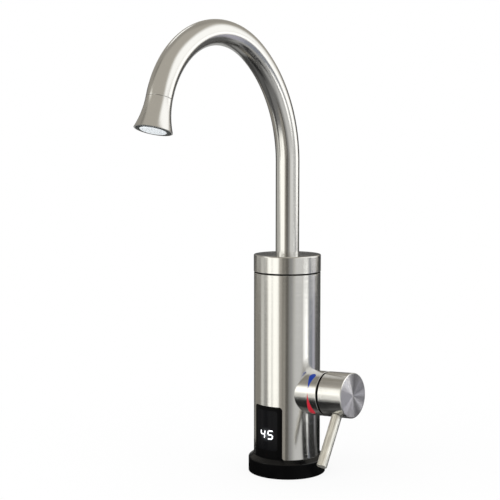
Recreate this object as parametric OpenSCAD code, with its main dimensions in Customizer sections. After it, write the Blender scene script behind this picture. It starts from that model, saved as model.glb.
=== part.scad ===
// Electric instant water heater tap for a kitchen worktop.
// The origin is on the body's axis where the base stands on the worktop, +Z up.
// The display faces -Y, the spout reaches over the sink along -Y, and the valve stands out along +X.

/* [Body] */
// Outside diameter of the steel body
body_d = 60; // [58:1:64]
// Wall of the steel body
body_wall = 1.5; // [1:0.1:1.6]
// Height of the steel body's top edge
body_top = 180.6; // [180:0.2:190]
// Thickness of the black ring under the cap
seal_t = 1.2; // [0.8:0.1:2]
// Depth of the ring below the steel
seal_recess = 0.3; // [0.1:0.1:0.6]

/* [Cap] */
// Height of the cap above the ring
cap_h = 15.2; // [14:0.2:20]
// How far the cap stands out past the body
cap_overhang = 0.2; // [0:0.1:0.5]
// Chamfer of the cap's top edge
cap_chamfer = 0.8; // [0.3:0.1:1.5]
// Thickness of the cap's top plate
cap_plate = 6; // [5:0.5:7]
// Length of the cap's spigot in the body
cap_spigot = 10.8; // [8:0.2:11]

/* [Base] */
// Outside diameter of the black base
base_d = 69.6; // [68:0.2:76]
// Height of the base where the steel enters it
base_h = 16; // [14:0.5:20]
// Height of the base's upright side
base_side = 12.6; // [9:0.2:13]
// Radius where the side turns into the sloped shoulder
base_round = 2; // [0.5:0.1:3]
// Thickness of the base's floor
floor_t = 4; // [3.5:0.25:5]
// Depth of the groove that the steel stands in
seat_depth = 1.2; // [0.8:0.1:2]

/* [Display tower] */
// Place of the display across the front
display_x = -0.6; // [-1.2:0.1:0.6]
// Width of the tower across the front
tower_w = 29.6; // [27:0.2:31]
// Height of the tower's top edge
tower_top = 63.3; // [58:0.1:66]
// Radius of the tower's upper corners
tower_corner = 3; // [1:0.1:5]
// Radius of the fillets at the tower's foot
tower_foot = 2.4; // [1:0.1:4]
// Thickness of the tower's wall
tower_t = 3.2; // [2.6:0.1:3.6]
// Width of the lens
lens_w = 21.8; // [20:0.2:23]
// Height of the lens's lower edge
lens_low = 24; // [20:0.5:28]
// Height of the lens's upper edge
lens_top = 59.6; // [50:0.2:61]
// Thickness of the lens
lens_t = 1.4; // [1:0.1:1.6]
// Number that the display shows
readout = 45; // [10:1:99]
// Height of a digit
digit_h = 8.4; // [6:0.2:10]
// Width of a digit
digit_w = 5.8; // [4.6:0.1:6.2]
// Distance between the digits' centres
digit_pitch = 8.3; // [7.6:0.1:9]
// Width of a lit segment
digit_stroke = 1.1; // [0.8:0.1:1.3]
// Lean of the digits
digit_slant = 6; // [0:1:12]
// Height of the digits' centre
digit_z = 37.9; // [34:0.1:42]

/* [Valve branch] */
// Height of the valve's axis at the body's axis
valve_z = 73; // [72:0.5:75]
// Rise of the valve's axis away from the body
valve_tilt = 3.5; // [0:0.5:4]
// Outside diameter of the branch and the hub
hub_d = 39.6; // [38:0.2:41]
// Distance from the body's axis to the end of the branch
branch_end = 45.2; // [44.9:0.1:47]
// Wall of the branch
branch_wall = 3.8; // [3:0.1:4.2]
// Angle of the pointed ends of the marks, from straight up towards the front
mark_mid = 75; // [70:1:95]
// Angle that the cold mark covers
cold_span = 49; // [40:1:60]
// Angle that the hot mark covers
hot_span = 68; // [50:1:72]
// Greatest width of a mark
mark_w = 6.4; // [3:0.1:7]
// Distance of the marks' centre line from the branch's end
mark_inset = 8.4; // [7:0.1:9]
// Depth of the marks' enamel
mark_t = 0.3; // [0.2:0.1:0.6]

/* [Handle] */
// Thickness of the black wear ring
wear_t = 1.8; // [1:0.1:2.5]
// Length of the hub
hub_len = 24; // [22:0.5:28]
// Chamfer of the hub's face
hub_chamfer = 0.6; // [0.2:0.1:1.2]
// Diameter of the lever
lever_d = 9; // [7:0.2:10]
// Distance from the valve's axis to the lever's end
lever_reach = 66.8; // [50:0.5:80]
// Distance from the hub's face to the lever's axis
lever_inset = 10.2; // [8:0.1:11]
// Lean of the lever forwards from straight down
lever_angle = 34; // [20:1:50]
// Diameter of the stud that holds the lever
lever_stud_d = 6; // [4:0.5:6.5]

/* [Spout] */
// Outside diameter of the spout tube
tube_d = 21.2; // [20.6:0.1:21.6]
// Wall of the spout tube
tube_wall = 1; // [0.8:0.1:1.2]
// Height at which the tube starts to bend
bend_z = 278.5; // [240:0.5:320]
// Radius of the first bend
bend_r1 = 113.5; // [95:0.5:130]
// Angle of the first bend
bend_a1 = 57; // [30:1:80]
// Radius of the second bend
bend_r2 = 77; // [60:0.5:90]
// Angle between the start of the spout and its outlet
sweep = 164; // [150:1:175]
// Length of the trumpet outlet
bell_len = 26; // [22:0.5:34]
// Diameter of the outlet's rim
bell_d = 31; // [28:0.2:36]
// Wall at the outlet's rim
bell_wall = 0.9; // [0.6:0.1:1.3]
// Diameter of the white insert
insert_d = 21.4; // [18:0.2:23]
// How far the insert stands out of its ring
insert_proud = 0.5; // [0:0.1:1]
// Diameter of a water jet
jet_d = 1; // [0.6:0.1:1.2]
// Rings of water jets
jet_rings = 3; // [1:1:4]

/* [Heater] */
// Outside diameter of the heating vessel
cup_d = 48; // [46:0.5:49]
// Wall of the heating vessel
cup_wall = 1.2; // [1:0.1:1.5]
// Height of the vessel
cup_h = 69.4; // [64:0.2:69.6]
// Diameter of the coil's centre line
coil_d = 32; // [30:0.5:33]
// Diameter of the heating element
coil_wire = 6.4; // [5:0.2:7]
// Turns of the coil
coil_turns = 5; // [3:1:5]
// Rise of the coil in one turn
coil_pitch = 8; // [7.5:0.1:8.2]
// Wall of the insulating sleeve
sleeve_wall = 1.6; // [1.2:0.1:2]

/* [Mounting] */
// Diameter of the G1/2 inlet thread
shank_d = 20.955; // [20.955:0.001:20.956]
// Length of the thread below the worktop's surface
shank_len = 52; // [48:1:70]
// Thickness of the worktop that the clamp is set to
deck_t = 20; // [10:1:26]
// Diameter of the clamping washers
washer_d = 52; // [46:1:60]
// Thickness of the rubber washer
rubber_t = 3; // [2:0.5:4]
// Thickness of the steel washer
steel_t = 1.5; // [1:0.5:2.5]
// Width across the flats of the lock nut
nut_af = 30; // [27:1:34]
// Thickness of the lock nut
nut_t = 9; // [6:0.5:10]
// Length of the thread that the hose screws onto
hose_thread = 14; // [12:0.5:15]
// Diameter of the mains cord's gland bore
cord_d = 5.8; // [5:0.2:6]

/* [Hidden] */
$fn = 96;
far = 200;
eps = 0.01;

// Clearances: a piece lies seat_gap from its seat, slide_gap from a bore that it turns or threads in
seat_gap = 0.3;
slide_gap = 0.05;
slot_gap = 0.15;

// Steel body and cap
body_r = body_d / 2;
body_in = body_r - body_wall;
cap_low = body_top + seal_t;
cap_top = cap_low + cap_h;
cap_r = body_r + cap_overhang;
spigot_r = body_in - seat_gap;
spigot_wall = 2.7;
base_r = base_d / 2;
shell_low = base_h - seat_depth;
shell_chamfer = 0.3;

// Insulating sleeve
sleeve_r = body_in - seat_gap;
sleeve_in = sleeve_r - sleeve_wall;
sleeve_low = floor_t + seat_gap;
sleeve_top = cap_low - cap_spigot - seat_gap;

// Display
tower_in = body_r - tower_t;
window_edge = 1.5;
board_t = 1.6;
module_w = 17;
module_h = 14;
module_gap = 1.4;
board_depth = 9.4;
board_y = board_depth - body_r;
power_y = 21;

// Boards as [width, height], and the blocks on them as [place across, place up, width, height, depth]
control_size = [22, 53.5];
power_size = [26, 51.7];
processor = [-5, 14, 10, 10, 2];
plug_row = [-8, 46, 16, 6, 3.5];
relay = [-7, 34, 14, 16, 6];
transformer = [2, 14, 9, 12, 4];
// Place across, place up, radius and length
capacitor = [-8, 20, 3.5, 8];

// Valve and handle, measured along the valve's axis from the body's axis
hub_r = hub_d / 2;
branch_in = hub_r - branch_wall;
wear_end = branch_end + wear_t;
hub_low = wear_end + seat_gap;
hub_face = hub_low + hub_len;
lever_s = hub_face - lever_inset;
stem_r = 4;
core_r = 13.5;
core_back = -14;
bonnet_low = 22;
bonnet_top = branch_end - 5.2;
cartridge_r = 12.5;
cartridge_low = 24.3;
cartridge_top = bonnet_top - 2;
cartridge_neck_r = 8;
seat_disc_t = 2.7;
rotor_low = cartridge_low + seat_disc_t + 0.1;
rotor_t = 3;
rotor_r = 9.8;
drive_low = rotor_low + rotor_t;
drive_t = 1.5;
drive_r = 7;
chamber_r = 10.5;
chamber_top = drive_low + drive_t + 0.4;

// Flow switch behind the valve
membrane_t = 1;
membrane_r = 10.8;
cover_back = core_back - 5;
plunger_head_t = 1;
plunger_head_r = 5;
plunger_r = 1.5;
plunger_travel = 1;
plunger_top = core_back - membrane_t - seat_gap;
plunger_tip = cover_back - 1.3;
switch_top = plunger_tip - plunger_travel - seat_gap;
switch_back = -sleeve_in + 0.8;

// Spout swivel
tube_r = tube_d / 2;
tube_in = tube_r - tube_wall;
boss_low = cap_low - 0.8;
boss_r = 16;
bush_r = tube_r + 2;
bush_lip = 1.7;
tube_low = boss_low + bush_lip + seat_gap;
bush_top = cap_top - 2;
neck_bore = 8.9;
connector_r = neck_bore - seat_gap;
clip_t = 1.2;
clip_top = boss_low - 0.4;
cover_low = body_top - 14.6;
neck_top = cap_low - 3.8;
oring_d = 1.45;
oring_z = [cover_low + 4, cover_low + 8.4];

// Heating vessel, hung between the sleeve's ledge and the cap
cup_r = cup_d / 2;
cup_in = cup_r - cup_wall;
cup_low = cover_low - cup_h;
cup_floor = 3;
ledge_t = 3;
ledge_r = cup_r - 3.5;
cover_plate = 3;
cover_skirt = 6;
gasket_t = 1;
coil_r = coil_d / 2;
coil_bend = 6;
coil_leg_low = cup_low - 7.6;
coil_z0 = cup_low + cup_floor + 2;
coil_inner_r = 7;
coil_steps = 16;
coil_rise = 6;
coil_sides = 8;
pipe_x = -7;
pipe_r = 4;
sensor_y = -17;
sensor_r = 1.6;
cutout_r = 7;
cutout_y = 10.5;

// Inlet and fixings
shank_r = shank_d / 2;
shank_collar_r = 12.2;
relief_t = 1;
relief_w = 1.6;
riser_r = 5.5;
riser_top = valve_z - 7.3;
water_r = 4;
gland_y = 15;
gland_r = cord_d / 2 + 0.6;
gland_lip_r = gland_r + 0.4;
gland_lip_t = 1.2;
screw_at = 22.8;
screw_angles = [25, 155, 205, 335];
screw_r = 1.5;
screw_head_r = 2.9;
screw_head_t = 2;
screw_recess = 0.3;
screw_top = 12;
gasket_in = base_r - 8;
gasket_out = base_r - 2;
gasket_depth = 1.8;
notch_w = 8;

// Sets a piece on the valve's axis: +Z runs outwards, +X down and -Y to the front
module on_valve(s = 0) {
    translate([0, 0, valve_z]) rotate([0, 90 - valve_tilt, 0]) translate([0, 0, s]) children();
}

// Sets a piece on the nozzle's axis: +Z points out of the outlet, from the tube's end
module on_nozzle(s = 0) {
    translate([0, seam_y, seam_z]) rotate([sweep, 0, 0]) translate([0, 0, s]) children();
}

// A round bar between two heights
module bar(r, low, high) {
    translate([0, 0, low]) cylinder(r = r, h = high - low);
}

// A tube between two heights
module pipe(r, bore, low, high) {
    difference() {
        bar(r, low, high);
        bar(bore, low - 1, high + 1);
    }
}

// A bar with chamfered ends
module turned(r, low, high, low_chamfer, high_chamfer) {
    rotate_extrude() polygon([
        [0, low], [r - low_chamfer, low], [r, low + low_chamfer],
        [r, high - high_chamfer], [r - high_chamfer, high], [0, high]]);
}

// A front view of a piece of the display, pushed through the body's front
module through_front() {
    translate([display_x, 0, 0]) rotate([90, 0, 0]) linear_extrude(height = body_r + 5) children();
}

// Points of an arc from angle a to angle b
function arc(c, r, a, b, n) = [for (i = [0:n]) c + r * [cos(a + (b - a) * i / n), sin(a + (b - a) * i / n)]];

// A rectangle with round corners, from its lower left corner
module rounded(x, z, w, h, r) {
    translate([x + r, z]) square([w - 2 * r, h]);
    translate([x, z + r]) square([w, h - 2 * r]);
    for (cx = [x + r, x + w - r], cz = [z + r, z + h - r]) translate([cx, cz]) circle(r = r);
}

// Front view of the tower, with the coved corners at its foot
module tower_outline(grow = 0) {
    w = tower_w / 2 + grow;
    rounded(-w, floor_t, 2 * w, tower_top + grow - floor_t, tower_corner);
    translate([-w, 0]) square([2 * w, tower_top - tower_corner]);
    for (side = [-1, 1]) scale([side, 1]) difference() {
        translate([w - eps, 0]) square([tower_foot + eps, base_h + tower_foot]);
        translate([w + tower_foot, base_h + tower_foot]) circle(r = tower_foot);
    }
}

// Front view of the lens
module lens_outline(grow = 0) {
    rounded(-lens_w / 2 - grow, lens_low - grow, lens_w + 2 * grow, lens_top - lens_low + 2 * grow, 2);
}

// Half section of the base: floor, thick wall, groove for the steel and sloped shoulder
module base_section() {
    lip_r = body_r + slot_gap;
    top_r = lip_r + 0.3;
    slope = atan2(base_h - base_side, base_r - top_r);
    polygon(concat(
        [[0, 0], [base_r, 0]],
        arc([base_r - base_round, base_side - base_round * tan(slope / 2)], base_round, 0, 90 - slope, 8),
        [[top_r, base_h], [lip_r, base_h], [lip_r, shell_low], [body_in, shell_low],
         [body_in, floor_t], [0, floor_t]]));
}

module screw_places() {
    for (a = screw_angles) rotate([0, 0, a]) translate([screw_at, 0, 0]) children();
}

module base_flange() {
    color([0.04, 0.04, 0.045]) difference() {
        union() {
            rotate_extrude() base_section();
            intersection() {
                pipe(body_r, tower_in, floor_t - eps, tower_top + 1);
                through_front() tower_outline();
            }
        }
        bar(shank_r + slide_gap, -1, floor_t + 1);
        translate([0, gland_y, 0]) bar(gland_r + slide_gap, -1, floor_t + 1);
        screw_places() {
            bar(screw_r + slide_gap, -1, floor_t + 1);
            bar(screw_head_r + seat_gap, -1, screw_recess + screw_head_t);
        }
        pipe(gasket_out, gasket_in, -1, gasket_depth);
        intersection() {
            pipe(body_r + 1, body_r - lens_t, 0, tower_top);
            through_front() lens_outline(slide_gap);
        }
        through_front() lens_outline(-window_edge);
    }
}

module display_window() {
    color([0.07, 0.07, 0.08]) difference() {
        intersection() {
            pipe(body_r, body_r - lens_t, lens_low - 1, lens_top + 1);
            through_front() lens_outline();
        }
        digit_solids(body_r + 1);
    }
}

// Ends of the seven segments of a digit, in halves of its width and height
segment_ends = [
    [[-1, 1], [1, 1]], [[1, 1], [1, 0]], [[1, 0], [1, -1]], [[-1, -1], [1, -1]],
    [[-1, 0], [-1, -1]], [[-1, 1], [-1, 0]], [[-1, 0], [1, 0]]];
// Segments that are lit for each figure from 0 to 9
lit_segments = [
    [0, 1, 2, 3, 4, 5], [1, 2], [0, 1, 3, 4, 6], [0, 1, 2, 3, 6], [1, 2, 5, 6],
    [0, 2, 3, 5, 6], [0, 2, 3, 4, 5, 6], [0, 1, 2], [0, 1, 2, 3, 4, 5, 6], [0, 1, 2, 3, 5, 6]];
segment_gap = 0.12;

function lean(p) = [p[0] + p[1] * tan(digit_slant), p[1]];

// A segment with pointed ends from p to q
module segment(p, q) {
    u = (q - p) / norm(q - p);
    n = [-u[1], u[0]] * digit_stroke / 2;
    a = p + u * segment_gap;
    b = q - u * segment_gap;
    h = u * digit_stroke / 2;
    polygon([for (v = [a, a + h + n, b - h + n, b, b - h - n, a + h - n]) lean(v)]);
}

module digit(figure) {
    half = [(digit_w - digit_stroke) / 2, (digit_h - digit_stroke) / 2];
    for (i = lit_segments[figure]) {
        ends = segment_ends[i];
        segment([ends[0][0] * half[0], ends[0][1] * half[1]], [ends[1][0] * half[0], ends[1][1] * half[1]]);
    }
}

// The lit segments, from a little inside the lens's face out to a radius
module digit_solids(r_out) {
    intersection() {
        pipe(r_out, body_r - 0.4, digit_z - digit_h, digit_z + digit_h);
        through_front() for (side = [-1, 1])
            translate([side * digit_pitch / 2, digit_z])
                digit(side < 0 ? floor(readout / 10) : readout % 10);
    }
}

module display_digits() {
    color([0.95, 0.97, 1]) digit_solids(body_r);
}

module display_module() {
    front = -(body_r - lens_t - module_gap - 0.2);
    color([0.12, 0.12, 0.13]) translate([display_x - module_w / 2, front, digit_z - module_h / 2])
        cube([module_w, board_y - front, module_h]);
}

// A board with its front at y, standing on the floor
module board(size, y) {
    translate([-size[0] / 2, y, floor_t + seat_gap]) cube([size[0], board_t, size[1]]);
}

module control_board() {
    color([0.05, 0.3, 0.15]) union() {
        board(control_size, board_y);
        for (b = [processor, plug_row])
            translate([b[0], board_y + board_t, b[1]]) cube([b[2], b[4], b[3]]);
    }
}

module power_board() {
    color([0.05, 0.28, 0.14]) union() {
        board(power_size, power_y);
        for (b = [relay, transformer])
            translate([b[0], power_y - b[4], b[1]]) cube([b[2], b[4] + eps, b[3]]);
        translate([capacitor[0], power_y, capacitor[1]]) rotate([90, 0, 0])
            cylinder(r = capacitor[2], h = capacitor[3]);
    }
}

module body_shell() {
    color([0.66, 0.64, 0.6]) difference() {
        turned(body_r, shell_low, body_top, 0, shell_chamfer);
        bar(body_in, shell_low - 1, body_top + 1);
        through_front() tower_outline(slot_gap);
        on_valve() bar(branch_in, 5, far);
    }
}

module cap_seal() {
    color([0.03, 0.03, 0.03]) pipe(body_r - seal_recess, spigot_r + slide_gap, body_top, cap_low);
}

module top_cap() {
    roof = cap_top - cap_plate;
    spigot_low = cap_low - cap_spigot;
    color([0.68, 0.66, 0.62]) rotate_extrude() polygon([
        [tube_r + seat_gap, cap_top], [cap_r - cap_chamfer, cap_top], [cap_r, cap_top - cap_chamfer],
        [cap_r, cap_low], [spigot_r, cap_low], [spigot_r, spigot_low],
        [spigot_r - spigot_wall, spigot_low], [spigot_r - spigot_wall, roof], [boss_r, roof],
        [boss_r, boss_low], [bush_r + slide_gap, boss_low], [bush_r + slide_gap, bush_top],
        [tube_r + seat_gap, bush_top]]);
}

module swivel_bush() {
    color([0.85, 0.85, 0.82]) rotate_extrude() polygon([
        [tube_r + slide_gap, bush_top - seat_gap], [bush_r, bush_top - seat_gap], [bush_r, boss_low],
        [connector_r + seat_gap, boss_low], [connector_r + seat_gap, boss_low + bush_lip],
        [tube_r + slide_gap, boss_low + bush_lip]]);
}

// Outline of a mark unrolled on the branch: a point that widens to a round end
module mark_outline(span) {
    reach = hub_r * sin(span / 2);
    half = mark_w / 2;
    rows = 8;
    side = [for (i = [1:rows]) let (t = i / rows) [half * pow(t, 1.2), -reach + t * (2 * reach - half)]];
    back = [for (i = [rows:-1:1]) [-side[i - 1][0], side[i - 1][1]]];
    polygon(concat([[0, -reach]], side, arc([0, reach - half], half, 15, 165, 6), back));
}

// A mark in the branch's surface: side 1 is the hot one, below, and -1 the cold one, above
module mark_solid(side, r_out) {
    span = side > 0 ? hot_span : cold_span;
    middle = mark_mid + side * (span / 2 + 3);
    on_valve(branch_end - mark_inset) intersection() {
        pipe(r_out, hub_r - mark_t, -mark_w, mark_w);
        rotate([0, 0, 180 + middle]) rotate([0, 90, 0]) linear_extrude(height = hub_r + 2)
            scale([1, side]) mark_outline(span);
    }
}

module blue_mark() {
    color([0.1, 0.22, 0.72]) mark_solid(-1, hub_r);
}

module red_mark() {
    color([0.85, 0.15, 0.2]) mark_solid(1, hub_r);
}

module valve_collar() {
    color([0.66, 0.64, 0.6]) difference() {
        on_valve() turned(hub_r, 8, branch_end, 0, 0.4);
        on_valve() bar(branch_in, 0, far);
        bar(body_r, 0, body_top);
        mark_solid(-1, hub_r + 1);
        mark_solid(1, hub_r + 1);
    }
}

module hub_wear_ring() {
    color([0.05, 0.05, 0.05]) on_valve() pipe(hub_r - 1.2, cartridge_neck_r + 4, branch_end, wear_end);
}

module inner_sleeve() {
    color([0.8, 0.8, 0.77]) difference() {
        union() {
            pipe(sleeve_r, sleeve_in, sleeve_low, sleeve_top);
            pipe(sleeve_r - eps, ledge_r, cup_low - seat_gap - ledge_t, cup_low - seat_gap);
            intersection() {
                bar(sleeve_r - eps, sleeve_low, screw_top + 2);
                screw_places() bar(4.2, sleeve_low, screw_top + 2);
            }
        }
        translate([display_x - tower_w / 2 - tower_foot - 1, -far, -1])
            cube([tower_w + 2 * tower_foot + 2, far, tower_top + 3]);
        on_valve() bar(branch_in + 0.6, 5, far);
        screw_places() bar(screw_r + slide_gap, 0, screw_top + seat_gap);
    }
}

// Angle on the vessel's axis of the element's second leg
coil_bend_turn = coil_bend / coil_r * 180 / PI;
coil_end_turn = coil_bend / coil_inner_r * 180 / PI;
coil_spiral = 270;
coil_leg_angle = coil_bend_turn + coil_spiral + coil_end_turn;

module heater_legs(r, low, high) {
    translate([coil_r, 0, 0]) bar(r, low, high);
    rotate([0, 0, coil_leg_angle]) translate([coil_inner_r, 0, 0]) bar(r, low, high);
}

module heater_cup() {
    color([0.75, 0.75, 0.74]) difference() {
        bar(cup_r, cup_low, cover_low);
        bar(cup_in, cup_low + cup_floor, far + cover_low);
        translate([pipe_x, 0, 0]) bar(pipe_r + slide_gap, cup_low - 1, cup_low + cup_floor + 1);
        heater_legs(coil_wire / 2 + slide_gap, cup_low - 1, cup_low + cup_floor + 1);
    }
}

module heater_gasket() {
    color([0.1, 0.1, 0.1]) pipe(cup_r, cup_in + slide_gap, cover_low, cover_low + gasket_t);
}

module heater_cover() {
    plate_top = cover_low + gasket_t + cover_plate;
    floor_z = cover_low - 1.5;
    color([0.72, 0.73, 0.73]) difference() {
        union() {
            bar(cup_in - slide_gap, cover_low - cover_skirt, cover_low + gasket_t + eps);
            bar(cup_r, cover_low + gasket_t, plate_top);
            bar(neck_bore + 3.1, plate_top - eps, neck_top);
        }
        bar(neck_bore, floor_z, far + neck_top);
        bar(5, 0, floor_z + eps);
        difference() {
            bar(cup_in - 2.8, 0, cover_low - 2);
            bar(7.5, 0, cover_low);
        }
        translate([0, sensor_y, 0]) bar(sensor_r + slide_gap, 0, far + plate_top);
    }
}

// Path of the heating element: up a leg, round the helix, in to the middle and down again
function on_axis(r, a, z) = [r * cos(a), r * sin(a), z];
coil_top = coil_z0 + coil_bend + coil_turns * coil_pitch;
coil_last = coil_bend_turn + coil_turns * 360;
coil_path = concat(
    [for (z = [coil_leg_low, (coil_leg_low + coil_z0) / 2]) on_axis(coil_r, 0, z)],
    [for (t = [0:22.5:67.5]) on_axis(coil_r, coil_bend_turn * (1 - cos(t)), coil_z0 + coil_bend * sin(t))],
    [for (i = [0:coil_turns * coil_steps]) let (f = i / coil_steps)
        on_axis(coil_r, coil_bend_turn + f * 360, coil_z0 + coil_bend + f * coil_pitch)],
    [for (i = [1:12]) let (f = i / 12)
        on_axis(coil_r + (coil_inner_r - coil_r) * f, coil_last + f * coil_spiral, coil_top + coil_rise * sin(f * 90))],
    [for (t = [22.5:22.5:90]) on_axis(
        coil_inner_r, coil_last + coil_spiral + coil_end_turn * sin(t),
        coil_top + coil_rise - coil_bend * (1 - cos(t)))],
    [for (z = [(coil_leg_low + coil_top) / 2, coil_leg_low]) on_axis(coil_inner_r, coil_last + coil_spiral + coil_end_turn, z)]);

function unit(v) = v / norm(v);

// Ring of points round a path point, square to the path there
function swept_ring(path, i, r, n) =
    let (
        a = path[max(i - 1, 0)],
        b = path[min(i + 1, len(path) - 1)],
        along = unit(b - a),
        out = unit([path[i][0], path[i][1], 0] + [0.001, 0, 0]),
        side = unit(cross(along, out)),
        up = cross(side, along))
    [for (k = [0:n - 1]) path[i] + r * (cos(360 * k / n) * up + sin(360 * k / n) * side)];

// A round tube swept along a path
module swept(path, r, n) {
    count = len(path);
    points = [for (i = [0:count - 1]) each swept_ring(path, i, r, n)];
    walls = [for (i = [0:count - 2], k = [0:n - 1]) let (j = (k + 1) % n)
        each [[i * n + k, i * n + j, (i + 1) * n + j], [i * n + k, (i + 1) * n + j, (i + 1) * n + k]]];
    low_end = [for (k = [1:n - 2]) [0, k + 1, k]];
    high_end = [for (k = [1:n - 2]) [(count - 1) * n, (count - 1) * n + k, (count - 1) * n + k + 1]];
    polyhedron(points, concat(walls, low_end, high_end));
}

module heater_coil() {
    color([0.45, 0.42, 0.4]) swept(coil_path, coil_wire / 2, coil_sides);
}

module thermal_cutout() {
    top = cup_low - seat_gap;
    color([0.15, 0.15, 0.16]) translate([0, cutout_y, 0]) union() {
        bar(cutout_r, top - 5, top);
        bar(cutout_r - 1.5, top - 6.5, top - 5 + eps);
        for (side = [-1, 1]) translate([side * 3.5 - 0.4, -1.5, top - 7.2]) cube([0.8, 3, 2]);
    }
}

module temperature_sensor() {
    plate_top = cover_low + gasket_t + cover_plate;
    color([0.7, 0.7, 0.72]) translate([0, sensor_y, 0]) union() {
        bar(sensor_r, cover_low - 8.5, plate_top + eps);
        bar(3, plate_top, plate_top + 5);
    }
}

module heater_pipe() {
    color([0.72, 0.55, 0.25]) translate([pipe_x, 0, 0])
        pipe(pipe_r, pipe_r - 1, valve_z + 5, cup_low + cup_floor - 1.5);
}

module valve_body() {
    color([0.75, 0.58, 0.26]) difference() {
        on_valve() union() {
            bar(core_r, core_back, bonnet_low + eps);
            bar(branch_in - slide_gap, bonnet_low, bonnet_top);
        }
        on_valve() {
            bar(cartridge_r + slide_gap, cartridge_low - seat_gap, far);
            bar(water_r, core_back + 3, far);
            bar(9, core_back - 1, core_back + 2);
            bar(1.2, core_back - 1, core_back + 4);
        }
        bar(riser_r + slide_gap, 0, riser_top + seat_gap);
        bar(water_r, 0, valve_z);
        translate([pipe_x, 0, 0]) bar(pipe_r + slide_gap, valve_z + 5 - seat_gap, far + valve_z);
        translate([pipe_x, 0, 0]) bar(pipe_r - 1, valve_z, far + valve_z);
    }
}

module valve_cartridge() {
    color([0.9, 0.9, 0.88]) on_valve() difference() {
        union() {
            bar(cartridge_r, cartridge_low, cartridge_top);
            bar(cartridge_neck_r, cartridge_top - eps, branch_end - 4.2);
        }
        bar(chamber_r, cartridge_low - 1, chamber_top);
        bar(stem_r + slide_gap, cartridge_low, far);
    }
}

module ceramic_seat() {
    color([0.93, 0.91, 0.86]) on_valve() difference() {
        bar(chamber_r - slide_gap, cartridge_low, cartridge_low + seat_disc_t);
        translate([4, 0, 0]) bar(2.6, 0, far);
        translate([-4, 0, 0]) bar(2.6, 0, far);
    }
}

module ceramic_rotor() {
    color([0.96, 0.95, 0.92]) on_valve() difference() {
        bar(rotor_r, rotor_low, drive_low);
        rotate([0, 0, -lever_angle]) translate([4, 0, 0]) bar(2.6, 0, far);
    }
}

module cartridge_spindle() {
    color([0.76, 0.6, 0.28]) on_valve() union() {
        bar(drive_r, drive_low, drive_low + drive_t);
        bar(stem_r, drive_low, lever_s + 1.7);
    }
}

module cartridge_nut() {
    inner = cartridge_neck_r + seat_gap;
    color([0.78, 0.6, 0.28]) on_valve() union() {
        pipe(branch_in - 2 * slide_gap, inner, bonnet_top + seat_gap, branch_end - 0.6);
        pipe(cartridge_r - 0.2, inner, cartridge_top + seat_gap, bonnet_top + 2 * seat_gap);
    }
}

module membrane() {
    color([0.08, 0.08, 0.08]) on_valve() bar(membrane_r, core_back - membrane_t, core_back);
}

module membrane_cover() {
    low = core_back - membrane_t;
    chamber = plunger_top - plunger_head_t - plunger_travel - seat_gap;
    color([0.2, 0.2, 0.22]) on_valve() difference() {
        bar(membrane_r + 0.2, cover_back, low);
        bar(plunger_head_r + 1, chamber, low + 1);
        bar(plunger_r + slide_gap, cover_back - 1, low);
    }
}

module switch_plunger() {
    color([0.9, 0.55, 0.2]) on_valve() union() {
        bar(plunger_head_r, plunger_top - plunger_head_t, plunger_top);
        bar(plunger_r, plunger_tip, plunger_top - plunger_head_t + eps);
    }
}

module micro_switch() {
    color([0.12, 0.12, 0.13]) on_valve() translate([-6, -5, switch_back])
        cube([12, 10, switch_top - switch_back]);
}

module handle_hub() {
    color([0.7, 0.69, 0.66]) on_valve() difference() {
        turned(hub_r, hub_low, hub_face, 0.4, hub_chamfer);
        difference() {
            bar(hub_r - 4.8, hub_low - 1, hub_low + 4.7);
            bar(stem_r + 3.5, hub_low + 1, hub_low + 5);
        }
        bar(stem_r + slide_gap, 0, lever_s + 2);
        on_lever() bar(lever_stud_d / 2 + slide_gap, 0, hub_r + 1);
    }
}

// Sets a piece on the lever's axis, in the valve's frame: +Z runs out along the lever
module on_lever() {
    translate([0, 0, lever_s]) rotate([0, 0, -lever_angle]) rotate([0, 90, 0]) children();
}

// The rod ends square against the hub's curve, and only its stud goes in
module lever_rod() {
    root = hub_r + slide_gap;
    color([0.78, 0.77, 0.72]) on_valve() on_lever() union() {
        turned(lever_d / 2, root, lever_reach, 0.3, 0.4);
        bar(lever_stud_d / 2, stem_r + 0.1, root + eps);
    }
}

// Centre of the second bend, and the end of the tube
bend_y2 = -bend_r1 + (bend_r1 - bend_r2) * cos(bend_a1);
bend_z2 = bend_z + (bend_r1 - bend_r2) * sin(bend_a1);
seam_y = bend_y2 + bend_r2 * cos(sweep);
seam_z = bend_z2 + bend_r2 * sin(sweep);

// Section of the tube at a bend's radius
module tube_section(r) {
    translate([r, 0]) difference() {
        circle(r = tube_r);
        circle(r = tube_in);
    }
}

// The second bend starts in the plane that cuts off the first, so the two meet exactly
module spout_tube() {
    color([0.7, 0.68, 0.64]) union() {
        pipe(tube_r, tube_in, tube_low, bend_z);
        translate([0, -bend_r1, bend_z]) rotate([90, 0, 90]) {
            intersection() {
                rotate_extrude() tube_section(bend_r1);
                translate([0, 0, -far]) cube(2 * far);
                rotate([0, 0, bend_a1]) translate([0, -far, -far]) cube([far, far, 2 * far]);
            }
            rotate([0, 0, bend_a1]) translate([bend_r1 - bend_r2, 0])
                rotate_extrude(angle = sweep - bend_a1) tube_section(bend_r2);
        }
    }
}

// Radius of the hollow flare of the bell, which starts in line with the tube
flare = bell_d / 2 - tube_r;
flare_r = (pow(bell_len, 2) + pow(flare, 2)) / (2 * flare);
aerator_depth = 9;
aerator_r = bell_d / 2 - bell_wall - 0.5;

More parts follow.
